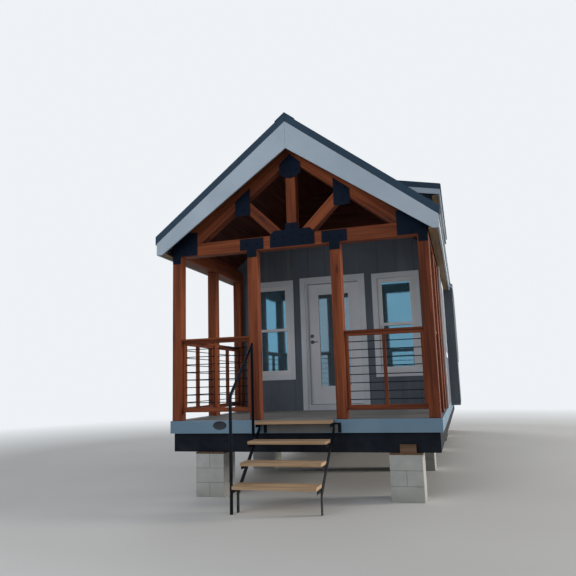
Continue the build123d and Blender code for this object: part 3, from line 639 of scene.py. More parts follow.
@dataclass(frozen=True)
class PanelSiding:
    """Grooved wall panels: slate paint outside over stamped grain, pale lining inside."""

    name: str = "slate_panel_siding"
    colour: tuple = (0.135, 0.158, 0.192)
    shade: tuple = (0.106, 0.125, 0.153)
    washed: tuple = (0.25, 0.25, 0.24)
    slot_colour: tuple = (0.06, 0.068, 0.08)
    lining: tuple = (0.62, 0.60, 0.56)
    pitch: float = 0.3048
    groove: float = 0.009
    inner_half: float = 1.685
    skirt: float = 0.004

    def dress(self) -> Material:
        """Build the material; the grooves follow X on end walls and Y on side walls.

        Returns:
            The material.
        """
        s = Sketch(self.name)
        place = s.place()
        x, y, z = s.parts(place)
        nx = abs(s.parts(s.node("NewGeometry", "Normal", {}))[0])
        side = s.math("GREATER_THAN", nx, 0.5)
        run = side * y + (1.0 - side) * x
        edge = abs(s.math("FRACT", (run + 30.0) / self.pitch) - 0.5)
        slot = s.span(edge, 0.5 - self.groove / self.pitch, 0.5 - 0.3 * self.groove / self.pitch)
        grain = s.noise(s.joined(run * 60.0, nx * 3.0, z * 2.2), 1.0, 5.0, 0.6, 0.4)
        cloud = s.noise(place, 0.9, 4.0, 0.6)
        run_off = s.noise(s.joined(run * 7.0, 0.0, z * 0.5), 1.0)
        colour = s.blend(s.span(cloud, 0.35, 0.65), self.shade, self.colour)
        colour = s.blend(s.span(grain, 0.45, 0.7, 0.0, 0.4), colour, self.shade)
        colour = s.blend(s.span(run_off, 0.55, 0.75, 0.0, 0.25), colour, self.washed)
        colour = s.blend(slot * 0.38, colour, self.slot_colour)
        inside = self.inside(s, x, y, z)
        height = (grain * 0.25 - slot) * (1.0 - inside)
        rough = s.span(grain, 0.3, 0.7, 0.52, 0.68)
        return s.finish(s.blend(inside, colour, self.lining), rough, height, 0.0035,
                        {"Specular IOR Level": 0.2})

    def inside(self, s: Sketch, x: Value, y: Value, z: Value) -> Value:
        """1 where a point faces the rooms: between the inner faces of the four walls, under the roof.

        Args:
            s: Graph of the material.
            x: Place across the house.
            y: Place along it.
            z: Height.

        Returns:
            The mask.
        """
        away = abs(x - float(HOUSE_SHIFT[0]))
        wide = s.math("LESS_THAN", away, self.inner_half)
        low = s.math("LESS_THAN", z, LEVELS.under(0.0) - away * LEVELS.slope)
        shift = float(HOUSE_SHIFT[1])
        front = s.math("GREATER_THAN", y, LEVELS.door_back - self.skirt + shift)
        rear = s.math("LESS_THAN", y, LEVELS.length - LEVELS.wall + self.skirt + shift)
        return wide * low * (front * rear)


@dataclass(frozen=True)
class SheetRoof:
    """Coated steel roofing with faint waves; its underside, inside the house, shows pale lining."""

    name: str = "slate_blue_roofing"
    colour: tuple = (0.034, 0.066, 0.106)
    shade: tuple = (0.024, 0.046, 0.076)
    dust: tuple = (0.20, 0.21, 0.21)
    lining: tuple = (0.60, 0.57, 0.52)
    lined: bool = True

    def dress(self) -> Material:
        """Build the material.

        Returns:
            The material.
        """
        s = Sketch(self.name)
        place = s.place()
        x, y, z = s.parts(place)
        away = abs(x - float(HOUSE_SHIFT[0]))
        wash = s.noise(s.joined(away * 0.8, y * 7.0, 0.0), 1.0, 5.0, 0.6)
        speck = s.noise(place, 70.0, 3.0, 0.6)
        waves = s.noise(s.joined(away * 2.0, y * 5.0, 0.0), 1.0, 2.0)
        colour = s.blend(s.span(wash, 0.35, 0.68), self.shade, self.colour)
        colour = s.blend(s.span(speck, 0.62, 0.8, 0.0, 0.3), colour, self.dust)
        if self.lined:
            below = s.math("LESS_THAN", z, LEVELS.under(0.0) + 0.002 - away * LEVELS.slope)
            colour = s.blend(below, colour, self.lining)
        return s.finish(colour, s.span(wash, 0.3, 0.7, 0.40, 0.52), waves * 0.9 + speck * 0.02, 0.004,
                        {"Specular IOR Level": 0.16})


@dataclass(frozen=True)
class Cast:
    """Pressed concrete: cloudy tone, sandy grain, open pits and damp at the foot."""

    name: str = "grey_block"
    colour: tuple = (0.475, 0.485, 0.46)
    shade: tuple = (0.355, 0.36, 0.345)
    pit: tuple = (0.15, 0.145, 0.135)
    wet: tuple = (0.20, 0.18, 0.145)

    def dress(self) -> Material:
        """Build the material.

        Returns:
            The material.
        """
        s = Sketch(self.name)
        place = s.place()
        sand = s.noise(place, 240.0, 4.0, 0.7)
        cloud = s.noise(place, 4.0, 5.0, 0.6)
        open_skin = s.span(s.noise(place, 30.0, 2.0), 0.5, 0.62)
        pits = s.span(s.cells(place, 95.0), 0.10, 0.24, 1.0, 0.0) * open_skin
        colour = s.blend(s.span(cloud, 0.32, 0.68), self.shade, self.colour)
        colour = s.blend(s.span(sand, 0.35, 0.7, 0.0, 0.45), colour, self.shade)
        colour = s.blend(pits * 0.7, colour, self.pit)
        damp = s.span(s.parts(place)[2], 0.0, 0.16, 0.6, 0.0) * s.span(cloud, 0.3, 0.7)
        colour = s.blend(damp, colour, self.wet)
        return s.finish(colour, s.span(sand, 0.3, 0.7, 0.86, 0.95), sand * 0.5 - pits, 0.002)


@dataclass(frozen=True)
class Metal:
    """Bare or plated metal with brushed streaks and dulled patches."""

    name: str
    colour: tuple
    rough: float = 0.32
    metallic: float = 1.0

    def dress(self) -> Material:
        """Build the material.

        Returns:
            The material.
        """
        s = Sketch(self.name)
        place = s.place()
        brushed = s.noise(place, (20.0, 20.0, 700.0), 3.0, 0.6)
        patch = s.noise(place, 14.0, 4.0, 0.6)
        dull = tuple(0.6 * c for c in self.colour)
        colour = s.blend(s.span(patch, 0.4, 0.7, 0.0, 0.6), self.colour, dull)
        worn = s.span(patch, 0.4, 0.7, 0.0, 0.12)
        rough = s.span(brushed, 0.3, 0.7, self.rough - 0.05, self.rough + 0.07) + worn
        return s.finish(colour, rough, brushed, 0.00015, {"Metallic": self.metallic})


@dataclass(frozen=True)
class Pane:
    """Coated window glass: it mirrors the porch and the sky, tints the rooms and carries a film of dust. Its
    blue is part tint, part painted sky reflection.
    """

    name: str
    colour: tuple
    mirror: float = 0.5
    through: float = 0.6

    def dress(self) -> Material:
        """Build the material.

        Returns:
            The material.
        """
        s = Sketch(self.name)
        place = s.place()
        film = s.noise(place, 3.0, 5.0, 0.65)
        drops = s.noise(place, 60.0, 2.0)
        pale = tuple(min(1.0, 1.15 * c + 0.04) for c in self.colour)
        colour = s.blend(s.span(film, 0.4, 0.75, 0.0, 0.4), self.colour, pale)
        return s.finish(colour, s.span(drops, 0.45, 0.8, 0.02, 0.09), s.noise(place, 1.3, 1.0), 0.0004,
                        {"Metallic": self.mirror, "Transmission Weight": self.through, "IOR": 1.5})


@dataclass(frozen=True)
class Rubber:
    """Tyre rubber, greyed by dust in its grooves."""

    name: str = "tyre_rubber"
    colour: tuple = (0.022, 0.022, 0.023)
    dusty: tuple = (0.12, 0.105, 0.085)

    def dress(self) -> Material:
        """Build the material.

        Returns:
            The material.
        """
        s = Sketch(self.name)
        place = s.place()
        dust = s.noise(place, 9.0, 5.0, 0.65)
        colour = s.blend(s.span(dust, 0.42, 0.7, 0.0, 0.7), self.colour, self.dusty)
        return s.finish(colour, s.span(dust, 0.3, 0.7, 0.62, 0.85), s.noise(place, 260.0, 2.0), 0.0004)


@dataclass(frozen=True)
class Planks:
    """Indoor floor planks: joints across X, staggered tones, satin finish."""

    name: str = "floor_planks"
    dark: tuple = (0.30, 0.20, 0.12)
    light: tuple = (0.48, 0.36, 0.24)
    fibre: tuple = (0.26, 0.17, 0.10)
    joint: tuple = (0.06, 0.04, 0.03)
    width: float = 0.18

    def dress(self) -> Material:
        """Build the material; each plank's tone comes from its row number.

        Returns:
            The material.
        """
        s = Sketch(self.name)
        x, y, _ = s.parts(s.place())
        row = (x + 20.0) / self.width
        number = s.math("FLOOR", row)
        gap = s.span(abs(s.math("FRACT", row) - 0.5), 0.485, 0.495)
        tone = s.noise(s.joined(number, y * 0.3, 0.0), 3.1, 0.0)
        fibre = s.noise(s.joined(x * 90.0, y * 2.0, number), 1.0, 5.0, 0.6)
        colour = s.blend(s.span(tone, 0.3, 0.7), self.dark, self.light)
        colour = s.blend(s.span(fibre, 0.4, 0.7, 0.0, 0.5), colour, self.fibre)
        colour = s.blend(gap, colour, self.joint)
        return s.finish(colour, s.span(fibre, 0.3, 0.7, 0.38, 0.52), fibre * 0.15 - gap, 0.001)


class Palette:
    """Every finish of the house, made once and shared by the pieces."""

    def __init__(self) -> None:
        """Dress all the materials."""
        stain = dict(dark=(0.083, 0.019, 0.008), light=(0.255, 0.068, 0.025), knot=(0.026, 0.007, 0.004))
        self.timber = Sawn("stained_timber", **stain).dress()
        # Ceiling and gable boards: the timber's wood in a far darker copy, which is painted shade of the
        # porch roof rather than a stain of their own.
        self.ceiling = Sawn("ceiling_wood_painted_shade", dark=(0.030, 0.008, 0.005), light=(0.085, 0.024, 0.013),
                            knot=(0.02, 0.007, 0.004), knots=0.5).dress()
        self.soffit = Sawn("soffit_wood", dark=(0.16, 0.105, 0.058), light=(0.31, 0.22, 0.13),
                           knot=(0.08, 0.045, 0.02), knots=0.35, rough=0.7, fibred=False).dress()
        # Deck boards: their grey is partly the weathered wood's own tone and partly painted sunlight that
        # lightens it.
        self.deck = Sawn("deck_grey_painted_sun", dark=(0.165, 0.168, 0.170), light=(0.34, 0.34, 0.335),
                         knot=(0.12, 0.105, 0.09), knots=0.4, rough=0.75, relief=0.002,
                         wear=(0.25, 0.245, 0.24)).dress()
        self.tread = Sawn("stair_planks", dark=(0.32, 0.205, 0.12), light=(0.575, 0.405, 0.26),
                          knot=(0.20, 0.10, 0.05), knots=0.45, rough=0.65, relief=0.0016).dress()
        self.cap = Sawn("pier_caps", dark=(0.075, 0.042, 0.026), light=(0.19, 0.115, 0.070),
                        knot=(0.035, 0.02, 0.012), rough=0.7).dress()
        self.trim = Painted("pale_trim", (0.66, 0.70, 0.745), (0.575, 0.615, 0.66), dust_top=1.4).dress()
        # Barge boards and eave fascias: pale paint, darkened and blued below the trim's colour as painted
        # sky shade.
        self.barge = Painted("barge_paint_painted_shade", (0.44, 0.52, 0.605), (0.37, 0.445, 0.525), relief=0.0006).dress()
        self.rim = Painted("blue_grey_rim", (0.155, 0.255, 0.345), (0.12, 0.205, 0.285),
                           pull=(1.2, 1.2, 80.0), dust_top=1.0, dust_amount=0.3).dress()
        self.steel = Painted("dark_chassis_steel", (0.007, 0.011, 0.020), (0.005, 0.008, 0.013), rough=0.52,
                             relief=0.0003, pull=(20.0, 20.0, 20.0), rust=0.5,
                             dust_amount=0.12, gloss=0.09).dress()
        self.plate = Painted("gusset_steel", (0.005, 0.011, 0.025), (0.004, 0.008, 0.017), rough=0.55,
                             relief=0.0003, pull=(30.0, 30.0, 30.0), rust=0.25, dust_amount=0.0,
                             gloss=0.09).dress()
        self.door = Painted("door_white", (0.70, 0.72, 0.765), (0.64, 0.66, 0.71), rough=0.34,
                            relief=0.00012, pull=(30.0, 30.0, 4.0), dust_top=1.5, dust_amount=0.12).dress()
        self.vinyl = Painted("white_vinyl", (0.70, 0.71, 0.735), (0.65, 0.66, 0.685), rough=0.32,
                             relief=0.0001, pull=(40.0, 40.0, 40.0), dust_amount=0.1).dress()
        self.wheel = Painted("wheel_enamel", (0.55, 0.56, 0.57), (0.44, 0.45, 0.46), rough=0.4,
                             relief=0.0003, rust=0.6, dust_amount=0.5).dress()
        self.panel = Painted("hanger_panel_paint", (0.20, 0.215, 0.215), (0.155, 0.165, 0.168),
                             rough=0.6, relief=0.0004).dress()
        self.siding = PanelSiding().dress()
        self.roof = SheetRoof().dress()
        self.sheet = SheetRoof(name="slate_blue_flashing", lined=False).dress()
        self.block = Cast().dress()
        self.nickel = Metal("dark_nickel", (0.15, 0.15, 0.16), 0.34).dress()
        self.bronze = Metal("dark_threshold", (0.035, 0.040, 0.050), 0.42, 0.5).dress()
        self.zinc = Metal("zinc_bolt", (0.30, 0.30, 0.31), 0.42).dress()
        # The blue of both panes is partly the glass's tint and partly a painted reflection of a blue sky.
        self.glass = Pane("window_pane_painted_sky", (0.18, 0.44, 0.60), 0.55).dress()
        self.door_glass = Pane("door_pane_painted_sky", (0.24, 0.38, 0.47), 0.42).dress()
        self.rubber = Rubber().dress()
        self.planks = Planks().dress()


# Sub-assemblies


def both(outline: list) -> list:
    """An outline and its twin on the other side of the ridge line."""
    return [outline, [(-x, z) for x, z in reversed(outline)]]


def bar(x0: float, x1: float, z0: float, z1: float) -> list:
    """Rectangle as an outline."""
    return [(x0, z0), (x1, z0), (x1, z1), (x0, z1)]


@dataclass
class Part:
    """Sub-assembly of the house, set out from its main lengths and dressed from the palette."""

    palette: Palette
    lv: Levels = LEVELS


@dataclass
class TimberFrame(Part):
    """Stained posts, beams, front truss and frieze boards of the porch, with eased edges."""

    ease: float = 0.007
    frieze: float = 0.038
    ridge_gap: float = 0.001

    def posts(self) -> Pile:
        """Square posts from the deck to the beams.

        Returns:
            The gathered boards.
        """
        pile, lv = Pile(seed=11), self.lv
        h = lv.post / 2
        outer = lv.post_outer - h
        rows = [(x, lv.post_front) for x in (outer, -outer, lv.middle_post, -lv.middle_post)]
        rows += [(x, y) for x in (outer, -outer) for y in (lv.side_post, lv.porch - lv.post)]
        for x, y in rows:
            board(pile, (x - h, y, lv.deck), (x + h, y + lv.post, lv.beam_low), Axis.Z, self.ease)
        return pile

    def beams(self) -> Pile:
        """Front beam and the two side beams.

        Returns:
            The gathered boards.
        """
        pile, lv = Pile(seed=31), self.lv
        back = lv.post_front + lv.post
        board(pile, (-lv.post_outer, lv.post_front, lv.beam_low), (lv.post_outer, back, lv.beam_high),
              Axis.X, self.ease)
        for s in (-1, 1):
            x0, x1 = sorted((s * (lv.post_outer - lv.post), s * lv.post_outer))
            board(pile, (x0, back, lv.beam_low), (x1, lv.porch, lv.beam_high), Axis.Y, self.ease)
        return pile

    def truss(self) -> Pile:
        """Two sloping chords, king post, two struts and the end rafters over the chords.

        Returns:
            The gathered boards.
        """
        pile, lv = Pile(seed=51), self.lv
        h, front, back = lv.post / 2, lv.post_front, lv.post_front + lv.post
        low, high = lv.chord_low - lv.slope * h, lv.chord_high - lv.slope * h
        heel_low = (lv.chord_low - lv.beam_high) / lv.slope
        heel_high = (lv.chord_high - lv.beam_high) / lv.slope
        chord = [(h, low), (heel_low, lv.beam_high), (heel_high, lv.beam_high), (h, high)]
        rafter = [(self.ridge_gap, high), (h, high), (heel_high, lv.beam_high),
                  (lv.post_outer, lv.beam_high), (lv.post_outer, lv.under(lv.post_outer) - lv.ceiling),
                  (self.ridge_gap, lv.under(self.ridge_gap) - lv.ceiling)]
        slope = math.atan(lv.slope)
        sides = zip((-1, 1), both(chord), both(rafter), both(self.strut()))
        for sign, chord_side, rafter_side, strut_side in sides:
            prism(pile, chord_side, front, back, Axis.Y, self.ease, sign * slope)
            prism(pile, rafter_side, front, front + self.frieze, Axis.Y, 0.002, sign * slope)
            prism(pile, strut_side, front, back, Axis.Y, self.ease, -sign * math.pi / 4)
        prism(pile, bar(-h, h, lv.beam_high, high), front, back, Axis.Y, self.ease, math.pi / 2)
        return pile

    def strut(self) -> list:
        """Outline of a strut that rises at 45 degrees from beside the king post to the chord.

        Returns:
            Its corners as pairs of metres.
        """
        lv = self.lv
        edge, spread = lv.post / 2 + lv.strut_gap, lv.post * math.sqrt(2)
        heads = [(lv.chord_low - lv.beam_high + x) / (1 + lv.slope) for x in (edge + spread, edge)]
        return [(edge, lv.beam_high), (edge + spread, lv.beam_high),
                *[(x, lv.chord_low - lv.slope * x) for x in heads]]

    def friezes(self) -> Pile:
        """Boards between the side beams and the ceiling.

        Returns:
            The gathered boards.
        """
        pile, lv = Pile(seed=71), self.lv
        edge = lv.post_outer - self.frieze
        for outline in both([(edge, lv.beam_high), (lv.post_outer, lv.beam_high),
                             (lv.post_outer, lv.under(lv.post_outer) - lv.ceiling),
                             (edge, lv.under(edge) - lv.ceiling)]):
            prism(pile, outline, lv.post_front + self.frieze, lv.porch, ease=0.003)
        return pile

    def build(self) -> None:
        """Make the pieces of the frame."""
        slot = "stained_timber"
        self.posts().build("timber_posts", self.palette.timber, slot, ("porch_posts",))
        self.beams().build("timber_beams", self.palette.timber, slot, ("front_beam", "side_beams"))
        self.truss().build("timber_truss", self.palette.timber, slot, ("truss_chords", "truss_web"))
        self.friezes().build("timber_friezes", self.palette.timber, slot, ("frieze_boards",))


@dataclass
class PorchCeiling(Part):
    """Narrow boards under the porch roof and in its gable, with a V joint between neighbours."""

    count: int = 17
    joint: float = 0.004
    lining: float = 0.012
    lining_rise: float = 0.516
    gable_count: int = 7
    eave_front: float = -0.18
    barge: float = 0.025
    ridge_gap: float = 0.002
    board_gap: float = 0.0006
    peak_gap: float = 0.02

    def build(self) -> None:
        """Make the boards of both slopes, which run along the ridge."""
        pile, lv = Pile(seed=91), self.lv
        y0 = self.eave_front + self.barge
        edges = np.linspace(self.ridge_gap, lv.post_outer, self.count + 1)
        for a, b in zip(edges[:-1], edges[1:] - self.board_gap):
            low_a, low_b = lv.under(a) - lv.ceiling, lv.under(b) - lv.ceiling
            j = self.joint
            outline = [(a + j, low_a - lv.slope * j), (b - j, low_b + lv.slope * j), (b, low_b + j),
                       (b, lv.under(b)), (a, lv.under(a)), (a, low_a + j)]
            for side in both(outline):
                prism(pile, side, y0, lv.porch, ease=0.001)
        pile.fibres = [f[:, [2, 0, 1]] for f in pile.fibres]
        # The finish of the ceiling and gable boards is the timber's wood darkened as painted shade.
        pile.build("ceiling_boards", self.palette.ceiling, "stained_timber", ("porch_ceiling",))
        self.gable().build("gable_boards", self.palette.ceiling, "stained_timber", ("gable_lining",))

    def gable(self) -> Pile:
        """Boards across the peak of the porch wall, each cut to the slope at both ends.

        Returns:
            The gathered boards.
        """
        pile, lv = Pile(seed=113), self.lv
        peak = lv.under(0.0) - lv.ceiling
        levels = np.linspace(lv.beam_high + self.lining_rise, peak - self.peak_gap, self.gable_count + 1)
        reach = (peak - levels) / lv.slope
        for z0, z1, r0, r1 in zip(levels[:-1], levels[1:], reach[:-1], reach[1:]):
            outline = [(-r0, z0), (r0, z0), (r1, z1 - 0.001), (-r1, z1 - 0.001)]
            prism(pile, outline, lv.porch - self.lining, lv.porch, ease=0.003)
        return pile


@dataclass
class PorchDeck(Part):
    """Deck boards across the porch with gaps between them."""

    count: int = 17
    gap: float = 0.005
    thick: float = 0.028
    rim: float = 0.038

    def build(self) -> None:
        """Make the boards, which run along X."""
        pile, lv = Pile(seed=131), self.lv
        edges = np.linspace(self.rim, lv.porch, self.count + 1)
        half = lv.half - self.rim
        for y0, y1 in zip(edges[:-1], edges[1:]):
            board(pile, (-half, y0, lv.deck - self.thick), (half, y1 - self.gap, lv.deck), Axis.X, 0.003)
        pile.build("deck_planks", self.palette.deck, "deck_wood", ("porch_deck",))


@dataclass
class Railings(Part):
    """Wooden panels with thin steel rods between the posts."""

    bar: float = 0.05
    stile: float = 0.042
    low: float = 0.11
    top: float = 1.083
    bottom_bar: float = 0.06
    cap_width: float = 0.09
    cap_height: float = 0.028
    rod: float = 0.006
    rods: int = 8
    pitch: float = 0.104
    first: float = 0.237
    entry: float = 0.012

    def panel(self, wood: Pile, steel: Pile, a: float, b: float, fixed: float, across: Axis) -> None:
        """One panel between two posts.

        Args:
            wood: Pile of the timber.
            steel: Pile of the rods.
            a: Start of the panel along its run.
            b: End of the panel.
            fixed: Middle of the panel on the other axis.
            across: Axis square to the panel.
        """
        lv, t = self.lv, self.bar / 2
        z0, z1 = lv.deck + self.low, lv.deck + self.top
        mid, half = (a + b) / 2, self.stile / 2
        for p0, p1 in ((a, a + self.stile), (mid - half, mid + half), (b - self.stile, b)):
            prism(wood, bar(p0, p1, z0 + self.bottom_bar, z1 - self.stile), fixed - t, fixed + t, across,
                  0.003, math.pi / 2)
        prism(wood, bar(a, b, z0, z0 + self.bottom_bar), fixed - t, fixed + t, across, 0.004)
        prism(wood, bar(a, b, z1 - self.stile, z1), fixed - t, fixed + t, across, 0.003)
        c = self.cap_width / 2
        prism(wood, bar(a, b, z1, z1 + self.cap_height), fixed - c, fixed + c, across, 0.005)
        run, normal = np.eye(3)[1 - across.value], np.eye(3)[across.value]
        for i in range(self.rods):
            start = fixed * normal + np.array([0.0, 0.0, lv.deck + self.first + self.pitch * i])
            for p0, p1 in ((a + self.stile, mid - half), (mid + half, b - self.stile)):
                places = np.linspace(p0 - self.entry, p1 + self.entry, 3)
                tube(steel, start + np.outer(places, run), self.rod, 10, normal)

    def build(self) -> None:
        """Make all six panels."""
        lv = self.lv
        front, sides, steel = Pile(seed=151), Pile(seed=171), Pile()
        h = lv.post / 2
        start, end = lv.middle_post + h, lv.post_outer - lv.post
        middle = lv.post_front + h
        for a, b in ((start, end), (-end, -start)):
            self.panel(front, steel, a, b, middle, Axis.Y)
        spans = ((lv.post_front + lv.post, lv.side_post), (lv.side_post + lv.post, lv.porch - lv.post))
        for x in (lv.post_outer - h, h - lv.post_outer):
            for a, b in spans:
                self.panel(sides, steel, a, b, x, Axis.X)
        slot = "stained_timber"
        front.build("front_rail_panels", self.palette.timber, slot, ("front_railings",))
        sides.build("side_rail_panels", self.palette.timber, slot, ("side_railings",))
        steel.build("steel_rods", self.palette.steel, "chassis_steel", ("railing_rods",))


@dataclass
class Stair(Part):
    """Plank treads with rounded noses, and the handrail with its bend and its mitred corner."""

    left: float = -0.50
    right: float = 0.477
    rise: float = 0.2175
    run: float = 0.259
    nose: float = 0.231
    depth: float = 0.26
    thick: float = 0.04
    count: int = 4
    gap: float = 0.008
    nose_radius: float = 0.010
    plate: float = 0.01
    bar_lift: float = 0.024
    bar_depth: float = 0.09
    tube_radius: float = 0.019
    rail_x: float = -0.54
    rail_foot: float = 0.915
    rail_leg: float = 0.165
    rail_height: float = 0.964
    bend: float = 0.06
    lug: float = 0.04

    def treads(self) -> Pile:
        """Planks whose outline in Y and Z has a rounded nose: an arc of a quarter turn at each edge.

        Returns:
            The gathered boards.
        """
        pile = Pile(seed=211)
        for i in range(self.count):
            y0 = -self.nose - self.run * i
            y1 = min(y0 + self.depth, -self.gap)
            z1 = self.lv.deck - self.rise * i
            z0, r = z1 - self.thick, self.nose_radius
            turn = np.linspace(0.0, math.pi / 2, 4)
            top = [(y0 + r - r * math.cos(t), z1 - r + r * math.sin(t)) for t in turn]
            low = [(y0 + r - r * math.sin(t), z0 + r - r * math.cos(t)) for t in turn]
            outline = low[:-1] + top + [(y1 - 0.004, z1), (y1, z1 - 0.004), (y1, z0)]
            prism(pile, outline, self.left, self.right, Axis.X, 0.004)
        pile.fibres = [f[:, [2, 0, 1]] for f in pile.fibres]
        return pile

    def bar_top(self, y: float) -> float:
        """Level of the sloping side bar's upper edge."""
        steep = self.rise / self.run
        return self.lv.deck - self.thick + self.bar_lift + steep * (y + self.nose - self.depth)

    def rail_path(self) -> np.ndarray:
        """Centre line of the handrail: up, an arc into the slope, a sharp corner, and down to the lug.

        Returns:
            Array (n, 3) of its points.
        """
        top = self.lv.deck + self.rail_height
        bend_z = top - self.rise / self.run * (self.rail_foot - self.rail_leg)
        foot, corner, head = (np.array(c) for c in ((-self.rail_foot, 0.0), (-self.rail_foot, bend_z),
                                                    (-self.rail_leg, top)))
        down, on = foot - corner, head - corner
        down, on = down / np.linalg.norm(down), on / np.linalg.norm(on)
        half = math.acos(float(down @ on)) / 2
        centre = corner + (down + on) / np.linalg.norm(down + on) * self.bend / math.sin(half)
        first = corner + down * self.bend / math.tan(half) - centre
        last = corner + on * self.bend / math.tan(half) - centre
        angle, t = math.pi - 2 * half, np.linspace(0.0, 1.0, 9)[:, None]
        arc = centre + (np.sin((1 - t) * angle) * first + np.sin(t * angle) * last) / math.sin(angle)
        end = np.array([-self.rail_leg, self.bar_top(self.lug / 2 - self.rail_leg) - self.bar_depth])
        flat = np.vstack([foot, arc, head, end])
        return np.column_stack([np.full(len(flat), self.rail_x), flat])

    def handrail(self) -> Pile:
        """Tube and the lug that joins its rear leg to the side bar of the stair.

        Returns:
            The gathered surfaces.
        """
        pile = Pile()
        tube(pile, self.rail_path(), self.tube_radius, 20, np.eye(3)[0])
        y0, y1 = -self.rail_leg - self.lug / 2, -self.rail_leg + self.lug / 2
        prism(pile, [(y0, self.bar_top(y1) - self.bar_depth), (y1, self.bar_top(y1) - self.bar_depth),
                     (y1, self.bar_top(y0)), (y0, self.bar_top(y0))],
              self.rail_x, self.left - self.plate, Axis.X, 0.001)
        return pile

    def build(self) -> None:
        """Make treads and handrail."""
        self.treads().build("tread_planks", self.palette.tread, "tread_wood", ("stair_treads",))
        self.handrail().build("bent_handrail", self.palette.steel, "chassis_steel", ("stair_handrail",))


@dataclass
class Bolts(Part):
    """Bolt heads on the gusset plates, as shifts from the middles and edges that the plates cover."""

    face: float = 0.014
    at_middle: tuple = ((0.0, 0.0), (0.14, -0.03), (0.14, 0.05), (0.255, -0.03), (0.255, 0.05), (0.50, 0.0),
                        (0.66, 0.0), (1.715, 0.0), (1.50, 0.03), (1.58, -0.04))
    over_beam: tuple = ((0.0, 0.11), (1.50, 0.08))
    under_beam: tuple = ((0.58, -0.045), (1.70, -0.045))
    at_peak: tuple = ((0.0, 4.235), (0.0, 4.335), (0.09, 4.33))
    at_strut: tuple = ((0.0, -0.10), (0.04, 0.06), (-0.06, 0.13))

    def build(self) -> None:
        """Make one piece of all bolt heads."""
        lv, pile = self.lv, Pile()
        edge, spread = lv.post / 2 + lv.strut_gap, lv.post * math.sqrt(2)
        head = ((lv.chord_low - lv.beam_high + edge + spread / 2) / (1 + lv.slope)) + 0.012
        rows = ((0.0, (lv.beam_low + lv.beam_high) / 2, self.at_middle), (0.0, lv.beam_high, self.over_beam),
                (0.0, lv.beam_low, self.under_beam), (0.0, 0.0, self.at_peak),
                (head, lv.chord_low - lv.slope * head, self.at_strut))
        for x, z in [(x + dx, z + dz) for x, z, shifts in rows for dx, dz in shifts]:
            for sign in ((1,) if x == 0.0 else (1, -1)):
                hex_bolt(pile, (sign * x, self.face, z), (0.0, -1.0, 0.0))
        pile.build("plate_bolts", self.palette.plate, "chassis_steel")


@dataclass
class Piers(Part):
    """Stacks of blocks laid in pairs, each course turned by a quarter, with wooden caps."""

    side: float = 0.397
    courses: int = 3
    joint: float = 0.002
    spread: float = 1.34
    front_left_set: float = 0.12
    tyre_room: float = 0.488
    behind_wall: float = 0.06
    before_rear: float = 0.465
    shim: tuple = (0.196, 0.042, 0.1)
    shim_shift: float = 0.034

    def plan(self) -> list:
        """Low X and Y corner of each stack.

        Returns:
            The corners as pairs of metres.
        """
        lv, reach = self.lv, self.lv.tyre_radius + self.tyre_room
        rows = (0.0, lv.porch + self.behind_wall, lv.axle_rows[0] - reach - self.side,
                lv.axle_rows[1] + reach, lv.length - self.before_rear)
        places = []
        for y in rows:
            left = self.front_left_set - self.spread if y == 0.0 else -self.spread
            places += [(self.spread - self.side / 2, y), (left - self.side / 2, y)]
        return places

    def stack(self, blocks: Pile, x0: float, y0: float, turned_first: bool) -> None:
        """Courses of two blocks each; every second course is turned by a quarter.

        Args:
            blocks: Where the blocks go.
            x0: Low X side of the stack.
            y0: Low Y side.
            turned_first: Whether the lowest course is the turned one.
        """
        x1, y1, gap = x0 + self.side, y0 + self.side, self.joint / 2
        xm, ym = (x0 + x1) / 2, (y0 + y1) / 2
        high = self.lv.pier_cap / self.courses
        for i in range(self.courses):
            z0, z1 = i * high, (i + 1) * high - (self.joint if i < self.courses - 1 else 0.0)
            if (i % 2 == 1) != turned_first:
                halves = ((x0, y0, xm - gap, y1), (xm + gap, y0, x1, y1))
            else:
                halves = ((x0, y0, x1, ym - gap), (x0, ym + gap, x1, y1))
            for a0, b0, a1, b1 in halves:
                board(blocks, (a0, b0, z0), (a1, b1, z1), Axis.X, 0.004)

    def build(self) -> None:
        """Make blocks, caps and the shim."""
        blocks, caps, lv = Pile(seed=241), Pile(seed=271), self.lv
        for k, (x0, y0) in enumerate(self.plan()):
            self.stack(blocks, x0, y0, k % 2 == 1)
            xm = x0 + self.side / 2
            for c0, c1 in ((x0, xm - self.joint), (xm + self.joint, x0 + self.side)):
                board(caps, (c0, y0, lv.pier_cap), (c1, y0 + self.side, lv.chassis), Axis.Y, 0.002)
        wide, deep, tall = self.shim
        x0 = self.spread + self.shim_shift - wide / 2
        board(caps, (x0, 0.0, lv.chassis), (x0 + wide, deep, lv.chassis + tall), Axis.X, 0.003)
        blocks.build("stacked_blocks", self.palette.block, "concrete_block", ("block_piers",))
        caps.build("cap_boards", self.palette.cap, "cap_wood", ("pier_caps",))


